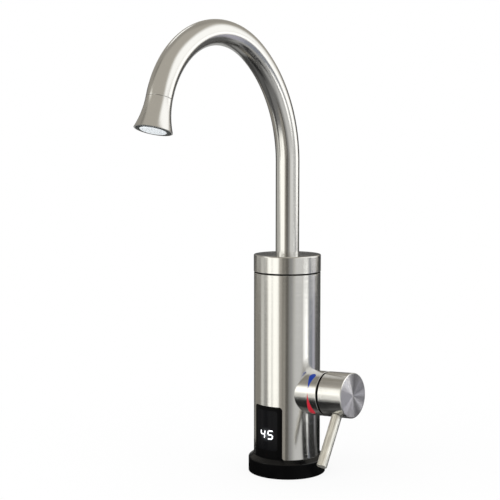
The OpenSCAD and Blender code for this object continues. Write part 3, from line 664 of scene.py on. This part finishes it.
class Paintbox:
    """Makes each finish's material once."""

    def __init__(self) -> None:
        """Starts with no materials."""
        self._made: dict[Finish, Material] = {}

    def __getitem__(self, finish: Finish) -> Material:
        """The finish's material."""
        if finish not in self._made:
            self._made[finish] = finish.material()
        return self._made[finish]

    def dress(self, thing: Object, finish: Finish, body: str, *nodes: str) -> None:
        """Paints a new piece, sets it on its body and says which CAD nodes it stands for."""
        thing.data.materials.append(self[finish])
        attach(thing, body)
        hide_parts(*nodes)
        log.info("%s on %s for %s", thing.name, body, ", ".join(nodes))

    def dress_cad(self, nodes: dict[str, Object]) -> None:
        """Paints every CAD node by the slot that its own material is named after."""
        by_slot = {finish.slot: finish for finish in CAD_FINISHES}
        for name, thing in nodes.items():
            for place in thing.material_slots:
                slot = place.material.name.split(".")[0]
                place.material = self[by_slot[slot]]
            log.info("%s keeps its CAD shape", name)


# The tap


@dataclass
class Cap:
    """Cap on the steel body, and the seal between them. Heights are the object's own."""

    paint: Paintbox
    radius: float = 30.2
    low: float = 181.8
    top: float = 197.0
    roof: float = 191.0
    hole_r: float = 10.9
    bush_top: float = 195.0
    bush_r: float = 12.65
    boss_low: float = 181.0
    boss_r: float = 16.0
    spigot_in: float = 25.5
    spigot_r: float = 28.2
    spigot_low: float = 171.0
    seal_low: float = 180.6
    seal_r: float = 29.7
    seal_in: float = 28.25

    def build(self) -> None:
        """Turns the cap with its boss and spigot, and its seal."""
        up = Axis.upright()
        cap = rounded([
            (self.low, self.radius, 0.25), (self.top, self.radius, 1.1), (self.top, self.hole_r, 0.3),
            (self.bush_top, self.hole_r, 0.1), (self.bush_top, self.bush_r, 0.1),
            (self.boss_low, self.bush_r, 0.2), (self.boss_low, self.boss_r, 0.2),
            (self.roof, self.boss_r, 0.3), (self.roof, self.spigot_in, 0.3),
            (self.spigot_low, self.spigot_in, 0.2), (self.spigot_low, self.spigot_r, 0.2),
            (self.low, self.spigot_r, 0.1)])
        self.paint.dress(around("cap", up, divided(cap, 4), 192), STEEL_ROUND, "body", "top_cap")
        seal = pipe(self.seal_r, self.seal_in, self.seal_low, self.low, 0.25)
        self.paint.dress(around("seal", up, seal, 192), BLACK_RUBBER, "body", "cap_seal")


@dataclass
class Spout:
    """Gooseneck tube and trumpet outlet; places (s, r) in the outlet count from the tube's end."""

    paint: Paintbox
    line: Gooseneck = field(default_factory=Gooseneck)
    tube_r: float = 10.6
    tube_in: float = 9.6
    tube_low: float = 183.0
    bell_len: float = 26.0
    rim_r: float = 15.5
    flare_r: float = 71.43
    cavity_r: float = 14.1
    cavity_low: float = 23.0
    washer_seat: Pair = (17.0, 9.5)
    throat: Pair = (14.0, 7.7)
    throat_start: float = 4.0
    ring_low: float = 23.3
    ring_in: float = 10.7
    ring_r: float = 14.05

    def flare(self, s: Array) -> Array:
        """Radius of the bell: an arc that starts in line with the tube."""
        return self.tube_r + self.flare_r - np.sqrt(self.flare_r ** 2 - s ** 2)

    def bell(self) -> Array:
        """Profile of the bell: a fine seam at the tube, the flare, a round rim, the cavity and the throat."""
        tube, rim, cavity, high = self.tube_r, self.rim_r, self.cavity_r, self.bell_len
        s = np.linspace(0.5, high - 0.35, 36)
        seam = [(0.02, tube - 0.3), (0.1, tube - 0.12), (0.22, tube - 0.02), (0.35, tube)]
        rim = [(high - 0.2, rim - 0.06), (high - 0.05, rim - 0.2), (high, rim - 0.4), (high, cavity + 0.3),
               (high - 0.15, cavity + 0.05), (high - 0.5, cavity)]
        inside = [(self.cavity_low, cavity), self.washer_seat, self.throat,
                  (self.throat_start, self.tube_in), (0.02, self.tube_in)]
        return np.concatenate([seam, np.stack([s, self.flare(s)], 1), rim, inside])

    def build(self) -> None:
        """Sweeps the tube and turns the bell and its ring on the same centre line."""
        end = self.line.end
        tube = rounded([(self.tube_low, self.tube_r, 0.2), (end, self.tube_r, 0.3), (end, self.tube_in, 0.1),
                        (self.tube_low, self.tube_in, 0.2)], support=0.3)
        tube = around("tube", self.line, divided(tube, 2.2), 128)
        self.paint.dress(tube, STEEL_SPOUT, "spout", "spout_tube")
        bell = around("bell", self.line, self.bell() + (end, 0), 128)
        self.paint.dress(bell, STEEL_BELL, "spout", "nozzle_bell")
        low, high = end + self.ring_low, end + self.bell_len
        ring = rounded([(low, self.ring_in, 0.1), (low, self.ring_r, 0.1), (high, self.ring_r, 0.3),
                        (high, self.ring_in, 0.3)])
        self.paint.dress(around("outlet_ring", self.line, ring, 128), DARK_RING, "spout", "aerator_housing")


@dataclass
class Valve:
    """Branch on the body's side, its marks and the ring under the hub.

    A mark is the angle of its point, in degrees from the top towards the front, and the angle it covers.
    """

    paint: Paintbox
    height: float = 73.0
    tilt: float = math.radians(3.5)
    radius: float = 19.8
    bore: float = 16.0
    end: float = 45.2
    body_r: float = 30.0
    sunk: float = 0.6
    ring_r: float = 18.6
    ring_in: float = 12.0
    ring_end: float = 47.0
    mark_s: float = 36.8
    mark_half: float = 3.2
    mark_low: float = -0.17
    mark_high: float = 0.05
    blue: Pair = (72.0, -49.0)
    red: Pair = (78.0, 68.0)

    @property
    def axis(self) -> Axis:
        """The valve's axis: side points down and up points to the back, as in part.scad."""
        c, s = math.cos(self.tilt), math.sin(self.tilt)
        return Axis(np.array([0, 0, self.height]), np.array([s, 0, -c]), np.array([0, 1.0, 0]),
                    np.array([c, 0, s]))

    def saddle(self, a: Array, r: Array) -> Array:
        """Length at which a line at angle a and radius r leaves the body's cylinder.

        The point p + s out, with p = r (cos a side + sin a up), lies on x^2 + y^2 = body_r^2.
        """
        axis = self.axis
        px, py = r * np.cos(a) * axis.side[0], r * np.sin(a)
        reach = np.sqrt(np.maximum(self.body_r ** 2 - py ** 2, 0))
        return (reach - px) / axis.out[0]

    def build(self) -> None:
        """Branch, ring and marks."""
        low = 20.0
        branch = rounded([(low, self.bore, 0), (low, self.radius, 0), (self.end, self.radius, 0.45),
                          (self.end, self.bore, 0.3)])
        branch = divided(branch, 1.2)

        def fit(a: Array, s: Array, r: Array) -> tuple[Array, Array]:
            """Stretches s so that the branch starts a little inside the body's surface."""
            start = self.saddle(a, r) - self.sunk
            return self.end - (self.end - s) * (self.end - start) / (self.end - low), r

        branch = around("branch", self.axis, branch, 192, fit)
        self.paint.dress(branch, STEEL_ROUND, "body", "valve_collar")
        ring = pipe(self.ring_r, self.ring_in, self.end, self.ring_end, 0.2)
        self.paint.dress(around("wear_ring", self.axis, ring, 144), BLACK_RUBBER, "body", "hub_wear_ring")
        self.paint.dress(self.mark("blue_wedge", *self.blue), BLUE, "body", "blue_mark")
        self.paint.dress(self.mark("red_wedge", *self.red), RED, "body", "red_mark")

    def mark(self, name: str, tip: float, span: float) -> Object:
        """A wedge of enamel on the branch.

        At the share t of its length, its half-width is mark_half t^1.2 up to a round end. The section is a
        thin lens from mark_low to mark_high about the branch's surface.
        """
        reach = self.radius * math.sin(math.radians(abs(span) / 2))
        round_end = self.mark_half / (2 * reach)
        t = np.concatenate([np.linspace(0, 1, 40) ** 1.3 * (1 - round_end),
                            1 - round_end * (1 - np.sin(np.linspace(0, math.pi / 2, 14)[1:]))])
        y = (2 * t - 1) * reach
        wedge = self.mark_half * np.clip((y + reach) / (2 * reach - self.mark_half), 0, 1) ** 1.2
        cap = np.sqrt(np.clip(self.mark_half ** 2 - np.maximum(y - reach + self.mark_half, 0) ** 2, 0, None))
        half = np.minimum(wedge, cap)
        w = np.linspace(0, 2 * math.pi, 33)[:-1]
        across, rise = signed_power(np.cos(w), 0.35), signed_power(np.sin(w), 0.5)
        angle = np.radians(tip + span / 2) + math.copysign(1, span) * np.arcsin(y / self.radius)
        middle, swing = (self.mark_high + self.mark_low) / 2, (self.mark_high - self.mark_low) / 2
        radius = self.radius + middle + swing * rise[:, None] + 0 * y
        centre, side, up = self.axis.at(self.mark_s + across[:, None] * half[None])
        out = -np.cos(angle)[None, :, None] * side - np.sin(angle)[None, :, None] * up
        points = centre + radius[..., None] * out
        if span < 0:
            points = points[::-1]
        return grid_mesh(name, points, np.append(y, y[-1]) + reach, wrap=False)


@dataclass
class Handle:
    """Turned hub and its lever. Lengths up to lever_s lie on the valve's axis, the rest on the lever's."""

    paint: Paintbox
    valve: Valve
    radius: float = 19.8
    low: float = 47.3
    face: float = 71.3
    recess_r: float = 15.0
    recess_depth: float = 4.7
    lever_s: float = 61.1
    lever_r: float = 4.5
    root: float = 19.85
    stud_r: float = 3.0
    stud_low: float = 4.1
    reach: float = 66.8
    turn: float = math.radians(34)

    @property
    def lever_axis(self) -> Axis:
        """The lever's axis, from the valve's axis outwards."""
        v = self.valve.axis
        out = math.cos(self.turn) * v.side - math.sin(self.turn) * v.up
        return Axis(v.origin + self.lever_s * v.out, v.out, np.cross(out, v.out), out)

    def build(self) -> None:
        """Turns the hub as a cup over the valve's nut, and the lever as a bar with its stud."""
        floor = self.low + self.recess_depth
        hub = rounded([(floor, 0, 0), (floor, self.recess_r, 0.3), (self.low, self.recess_r, 0.2),
                       (self.low, self.radius, 0.4), (self.face, self.radius, 0.75), (self.face, 0, 0)],
                      closed=False)
        hub = around("hub", self.valve.axis, divided(hub, 0.9, closed=False), 192)
        self.paint.dress(hub, STEEL_SPUN_PAINTED_LIGHT, "handle", "handle_hub")
        rod = rounded([(self.stud_low, 0, 0), (self.stud_low, self.stud_r, 0.2),
                       (self.root, self.stud_r, 0.1), (self.root, self.lever_r, 0.35),
                       (self.reach, self.lever_r, 0.45), (self.reach, 0, 0)], closed=False)
        rod = around("lever", self.lever_axis, divided(rod, 2.0, closed=False), 72)
        self.paint.dress(rod, STEEL_LEVER_PAINTED_LIGHT, "handle", "lever_rod")


@dataclass
class DeckFixing:
    """Threaded shank and nut below the worktop. Heights are the object's own."""

    paint: Paintbox
    shank_r: float = 10.4775
    shank_low: float = -52.0
    shank_end_r: float = 9.4
    hose_r: float = 7.0
    hose_top: float = -38.0
    water_r: float = 4.0
    collar: Pair = (4.0, 6.5)
    collar_r: float = 12.2
    riser_r: float = 5.5
    riser_top: float = 65.7
    pitch: float = 1.814
    thread_depth: float = 1.16
    thread_top: float = -1.6
    thread_low: float = -51.2
    relief: Pair = (-38.0, -36.4)
    relief_depth: float = 1.0
    nut: Pair = (-33.5, -24.5)
    nut_flat: float = 15.0
    nut_bore: float = 10.55

    def build(self) -> None:
        """Shank and nut."""
        shank = around("shank", Axis.upright(), self.shank(), 120, self.thread)
        self.paint.dress(shank, BRASS_TURNED, "body", "inlet_shank")
        low, high = self.nut
        corner = self.nut_flat / math.cos(math.radians(30))
        nut = rounded([(low, self.nut_bore, 0.5), (low, corner, 0), (high, corner, 0),
                       (high, self.nut_bore, 0.5)])
        nut = around("nut", Axis.upright(), divided(nut, 0.45), 180, self.hexagon)
        self.paint.dress(nut, BRASS_TURNED, "body", "lock_nut")

    def shank(self) -> Array:
        """Profile of the shank, with ten points to a turn of the thread."""
        shoulder = self.shank_low + 1
        low, high = self.collar
        threaded = [(z, self.shank_r) for z in np.arange(shoulder + 0.1, low, self.pitch / 10)]
        return np.array([
            (self.shank_low, self.hose_r), (self.shank_low, self.shank_end_r), (shoulder, self.shank_r),
            *threaded, (low, self.shank_r), (low, self.collar_r), (high, self.collar_r), (high, self.riser_r),
            (self.riser_top, self.riser_r), (self.riser_top, self.water_r), (self.hose_top, self.water_r),
            (self.hose_top, self.hose_r)])

    def thread(self, a: Array, s: Array, r: Array) -> tuple[Array, Array]:
        """Lowers the outside to a helix of rounded grooves, and to the plain relief groove.

        The groove's depth is thread_depth (0.5 - 0.5 cos 2 pi (s / pitch - a / 2 pi))^0.8, and it runs out
        at both ends.
        """
        outside = np.abs(r - self.shank_r) < 0.01
        phase = (s / self.pitch - a / (2 * math.pi)) % 1
        wave = 0.5 - 0.5 * np.cos(2 * math.pi * phase)
        run_out = np.clip((self.thread_top - s) / 1.5, 0, 1) * np.clip(s - self.thread_low, 0, 1)
        depth = self.thread_depth * wave ** 0.8 * run_out
        in_relief = (s > self.relief[0]) & (s < self.relief[1])
        depth = np.where(in_relief, self.relief_depth, depth)
        return s, r - np.where(outside, depth, 0)

    def hexagon(self, a: Array, s: Array, r: Array) -> tuple[Array, Array]:
        """Cuts the outside back to six flats, with corners at a = 0, and to a 30 degree cone at both ends."""
        low, high = self.nut
        flat = self.nut_flat / np.cos(a % (math.pi / 3) - math.pi / 6)
        cone = self.nut_flat + 0.2 + np.minimum(s - low, high - s) / math.tan(math.radians(30))
        return s, np.where(r > self.nut_bore + 1.5, np.minimum(np.minimum(flat, cone), r), r)


# Studio


PURE_WHITE = (1, 1, 1, 1)
WARM = (1.0, 0.945, 0.835)
CREAM = (1.0, 0.99, 0.93)
NEUTRAL = (1.0, 1.0, 0.98)
COOL = (0.88, 0.94, 1.08)
VIOLET = (0.95, 0.94, 1.08)
ALL = (-220.0, 220.0)


@dataclass(frozen=True)
class Patch:
    """A light or dark part of the studio's dome.

    Angles are in degrees: across from the camera to its right, and up from the horizon.
    """

    name: str
    across: Pair
    up: Pair
    level: float
    tint: Colour = NEUTRAL
    edge: float = 5.0
    rim: float = 10.0

    def share(self, across: Array, up: Array) -> Array:
        """How much the patch covers: the product of a smooth step at each of its four sides."""
        shown = np.ones_like(up)
        for at, (low, high), width in ((across, self.across, self.edge), (up, self.up, self.rim)):
            for distance in (at - low, high - at):
                t = np.clip(distance / width + 0.5, 0, 1)
                shown = shown * t * t * (3 - 2 * t)
        return shown


@dataclass(frozen=True)
class Shade:
    """A dark sector of the table, between two angles across and out to reach in mm."""

    left: float
    right: float
    reach: float
    level: float


@dataclass(frozen=True)
class Lamp:
    """A square soft lamp: its angles from the studio's centre, its side in metres and its power in watts."""

    name: str
    across: float
    up: float
    side: float
    power: float


PATCHES = (
    Patch("room", ALL, (-120, 120), 0.62, WARM),
    Patch("room_left", (-220, -95), (-10, 75), 0.44, WARM, 50, 20),
    Patch("ground", ALL, (-120, -14), 0.24, rim=22),
    Patch("ground_right", (24, 122), (-62, -14), 0.48, edge=24, rim=18),
    Patch("ground_left", (-220, -66), (-120, -17), 0.15, edge=20, rim=20),
    Patch("under", ALL, (-120, -66), 0.12, rim=24),
    Patch("back_left", (-220, -126), (-60, 14), 0.08, edge=12, rim=12),
    Patch("back_right", (128, 220), (-60, 12), 0.08, edge=8, rim=12),
    Patch("ground_back", (108, 196), (-120, -44), 0.34, edge=16, rim=14),
    Patch("back_fill", (160, 200), (-30, 3), 0.50, NEUTRAL, 12, 6),
    Patch("back_light", (-164, -138), (40, 50), 1.9, edge=8, rim=5),
    Patch("back_line", (-106, -86), (34, 52), 0.34, WARM, 8, 8),
    Patch("left_grey", (-146, -102), (-26, -5), 0.34, WARM, 5, 2),
    Patch("left_light", (-128, -68), (-5, 10), 0.62, CREAM, 8, 2),
    Patch("strip_left", (-101, -86), (-30, -5), 0.90, CREAM, 4, 3),
    Patch("strip_gap", (-86, -76), (-30, -5), 0.50, CREAM, 3, 3),
    Patch("key_left", (-69.5, -29), (-24, 9), 1.75, CREAM, 8, 14),
    Patch("key_seam", (-56, -50), (-26, -5), 1.05, CREAM, 2, 3),
    Patch("line_left", (-84, -64), (1, 28), 2.1, CREAM, 8, 14),
    Patch("flag_hub", (-90, -66), (-64, -18), 0.10, NEUTRAL, 6, 8),
    Patch("fill_left", (-27, -17), (-40, -5), 0.50, WARM, 6, 6),
    Patch("gap_left", (-17, -13), (-40, -5), 0.28, WARM, 2, 6),
    Patch("fill_front", (-13, -5), (-40, -5), 0.46, WARM, 2, 6),
    Patch("flag_front", (-5, 6), (-46, -5), 0.14, WARM, 3, 6),
    Patch("flag_front_high", (-17, 7), (-5, 12), 0.15, WARM, 5, 6),
    Patch("fill_right", (6, 20), (-40, 12), 0.36, NEUTRAL, 6, 14),
    Patch("fill_far", (20, 58), (-36, -4), 0.80, NEUTRAL, 24, 12),
    Patch("fill_tube", (27, 57), (-5, 12), 1.05, NEUTRAL, 8, 6),
    Patch("gap_tube", (57, 88), (-5, 9), 0.60, NEUTRAL, 6, 6),
    Patch("key_high", (46, 126), (8, 50), 1.6, NEUTRAL, 26, 20),
    Patch("key_right", (57, 77), (-16, -5), 1.75, NEUTRAL, 5, 4),
    Patch("glint_right", (66.5, 72.5), (-24, -9), 2.6, NEUTRAL, 2, 3),
    Patch("cool_right", (78, 98), (-30, -5), 0.38, COOL, 3, 3),
    Patch("line_right", (98, 112), (-30, -5), 0.62, VIOLET, 3, 3),
    Patch("key_back", (88, 121), (-3.2, 10), 1.8, NEUTRAL, 4, 2),
    Patch("flag_right", (113, 140), (-34, -5), 0.14, NEUTRAL, 4, 2),
)
TABLE_SHADES = (Shade(49, 67, 360, 0.02), Shade(73, 103, 360, 0.04), Shade(117, 158, 260, 0.01),
                Shade(-150, -20, 130, 0.03))
LAMPS = (Lamp("key_lamp", -48, 38, 1.2, 6), Lamp("fill_lamp", 60, 30, 1.4, 4),
         Lamp("low_lamp", -70, 4, 1.2, 11))


@dataclass
class Studio:
    """Floor, dome, table shades, lamps and world. Sizes whose names end in _m are in metres."""

    camera_azimuth: float
    centre: tuple[float, float, float] = (0.0, 0.0, 150.0)
    dome_r: float = 3000.0
    shade_in: float = 36.0
    shade_z: float = -0.6
    shade_steps: int = 24
    lamp_distance_m: float = 1.6
    floor_half_m: float = 6.0
    floor_z_m: float = -0.0003
    ambient: float = 0.9

    def direction(self, across: float, up: float) -> Vector:
        """Unit vector at angles given in degrees from the camera and the horizon."""
        a, e = math.radians(across) + self.camera_azimuth, math.radians(up)
        return Vector((math.sin(a) * math.cos(e), -math.cos(a) * math.cos(e), math.sin(e)))

    def glow(self, way: Array) -> Array:
        """The dome's colour in each direction.

        Each patch in turn takes its share of it: glow = glow (1 - share) + level tint share.
        """
        across = np.degrees(np.arctan2(way[:, 0], -way[:, 1]) - self.camera_azimuth)
        across = (across + 180) % 360 - 180
        up = np.degrees(np.arcsin(np.clip(way[:, 2], -1, 1)))
        glow = np.zeros((len(way), 4))
        for patch in PATCHES:
            turns = [patch.share(across + turn, up) for turn in (-360, 0, 360)]
            share = np.max(turns, axis=0)[:, None]
            glow = glow * (1 - share) + share * patch.level * np.array([*patch.tint, 1])
        return glow

    @staticmethod
    def only_reflected(thing: Object, material: Material) -> Object:
        """Paints a thing that only reflections see."""
        thing.data.materials.append(material)
        thing.visible_camera = thing.visible_diffuse = thing.visible_shadow = False
        return thing

    def dome(self) -> Object:
        """A sphere that only reflections see, and that shines with its patches laid over each other."""
        height = np.radians(np.linspace(-90, 90, 181))
        profile = np.stack([np.sin(height), np.cos(height)], 1) * self.dome_r
        profile[[0, -1], 1] = 0
        dome = around("dome", Axis.upright(self.centre), profile, 360)
        place = np.empty(len(dome.data.vertices) * 3)
        dome.data.vertices.foreach_get("co", place)
        glow = self.glow((place.reshape(-1, 3) / MM - np.array(self.centre)) / self.dome_r)
        colours = dome.data.color_attributes.new(name="glow", type="FLOAT_COLOR", domain="POINT")
        colours.data.foreach_set("color", glow.astype(np.float32).ravel())
        g = Graph.of_material("dome")
        g.end(g.glow(g.add("ShaderNodeAttribute", {"attribute_name": "glow"}, {}, "Color")))
        g.owner.cycles.emission_sampling = "NONE"
        return self.only_reflected(dome, g.owner)

    def shade(self, sector: Shade) -> Object:
        """A dark sector of the table round the tap's foot, which only reflections see."""
        steps = self.shade_steps
        across = np.radians(np.linspace(sector.left, sector.right, steps + 1)) + self.camera_azimuth
        ring = np.stack([np.sin(across), -np.cos(across), 1 + 0 * across], 1)
        points = np.concatenate([ring * [r, r, self.shade_z] for r in (self.shade_in, sector.reach)]) * MM
        i = np.arange(steps)
        mesh = bpy.data.meshes.new("shade")
        faces = np.stack([i, i + 1, i + steps + 2, i + steps + 1], 1)
        mesh.from_pydata(points.tolist(), [], faces.tolist())
        thing = finished("table_shade_%d" % abs(sector.left), mesh)
        g = Graph.of_material("table_shade")
        g.end(g.glow(PURE_WHITE, sector.level))
        return self.only_reflected(thing, g.owner)

    def light(self, lamp: Lamp) -> None:
        """Places a lamp that only lights, and isn't seen in the steel."""
        data = bpy.data.lights.new(lamp.name, "AREA")
        data.size, data.energy = lamp.side, lamp.power
        thing = linked(lamp.name, data)
        way = self.direction(lamp.across, lamp.up)
        thing.location = Vector(self.centre) * MM + way * self.lamp_distance_m
        thing.rotation_euler = way.to_track_quat("Z", "Y").to_euler()
        thing.visible_glossy = False

    def floor(self) -> Object:
        """A plain white floor, mostly white to the camera, that keeps a soft shadow.

        The camera sees white for 0.88 of it near the tap, and for all of it further away.
        """
        half, z = self.floor_half_m, self.floor_z_m
        mesh = bpy.data.meshes.new("floor")
        mesh.from_pydata([(-half, -half, z), (half, -half, z), (half, half, z), (-half, half, z)], [],
                         [(0, 1, 2, 3)])
        thing = linked("floor", mesh)
        g = Graph.of_material("floor")
        x, y, _ = g.split(g.place())
        far = ((x * x + y * y) ** 0.5 * 3.2 - 0.25).clamped()
        path = g.add("ShaderNodeLightPath", {}, {}, "Is Camera Ray")
        soft = g.blend(g.noise(g.place(), 9, 2), (0.83, 0.83, 0.83), (0.86, 0.86, 0.86))
        matt = g.add("ShaderNodeBsdfDiffuse", {}, {"Color": soft})
        share = path * (0.88 + 0.12 * far)
        g.end(g.add("ShaderNodeMixShader", {}, {0: share, 1: matt, 2: g.glow(PURE_WHITE)}))
        mesh.materials.append(g.owner)
        thing.visible_glossy = False
        return thing

    def world(self) -> None:
        """White to the camera, to reflections and through clear pieces; a plain level as light."""
        world = bpy.data.worlds.new("studio")
        bpy.context.scene.world = world
        g = Graph(world, "ShaderNodeOutputWorld")
        camera, glossy, clear = (g.add("ShaderNodeLightPath", {}, {}, "Is %s Ray" % kind)
                                 for kind in ("Camera", "Glossy", "Transmission"))
        seen = g.math("MAXIMUM", g.math("MAXIMUM", camera, glossy), clear)
        light, white = (g.add("ShaderNodeBackground", {}, {"Color": PURE_WHITE, "Strength": level})
                        for level in (self.ambient, 1.0))
        g.end(g.add("ShaderNodeMixShader", {}, {0: seen, 1: light, 2: white}))

    def build(self) -> None:
        """Sets the whole studio."""
        self.floor()
        self.dome()
        [self.shade(sector) for sector in TABLE_SHADES]
        for lamp in LAMPS:
            self.light(lamp)
        self.world()
        bpy.context.scene.view_settings.view_transform = "Standard"


@dataclass(frozen=True)
class PhotoCamera:
    """The photograph's camera: a square frame, its place found by fitting the tap's outline."""

    focal_px: float = 1161.09
    azimuth: float = math.radians(36.36)
    distance: float = 1037.5
    height: float = 294.51
    pitch: float = math.radians(5.18)
    yaw: float = math.radians(1.85)
    frame_px: float = 500.0
    sensor: float = 36.0

    def build(self) -> None:
        """Places the camera, which looks along azimuth plus yaw and down by pitch."""
        data = bpy.data.cameras.new("photo_camera")
        data.sensor_width = self.sensor
        data.lens = self.focal_px / self.frame_px * self.sensor
        data.clip_start, data.clip_end = 0.02, 50
        thing = linked("photo_camera", data)
        look, p = self.azimuth + self.yaw, self.pitch
        ahead = Vector((-math.sin(look) * math.cos(p), math.cos(look) * math.cos(p), -math.sin(p)))
        right = Vector((math.cos(look), math.sin(look), 0))
        x, y = self.distance * math.sin(self.azimuth), -self.distance * math.cos(self.azimuth)
        place = Matrix((right, right.cross(ahead), -ahead)).transposed().to_4x4()
        place.translation = Vector((x, y, self.height)) * MM
        thing.matrix_world = place
        bpy.context.scene.camera = thing


def main() -> None:
    """Builds the tap's looks, the studio and the camera."""
    paint = Paintbox()
    paint.dress_cad(frame["nodes"])
    Cap(paint).build()
    Spout(paint).build()
    valve = Valve(paint)
    valve.build()
    Handle(paint, valve).build()
    DeckFixing(paint).build()
    camera = PhotoCamera()
    camera.build()
    Studio(camera.azimuth).build()


if __name__ == "__main__":
    main()
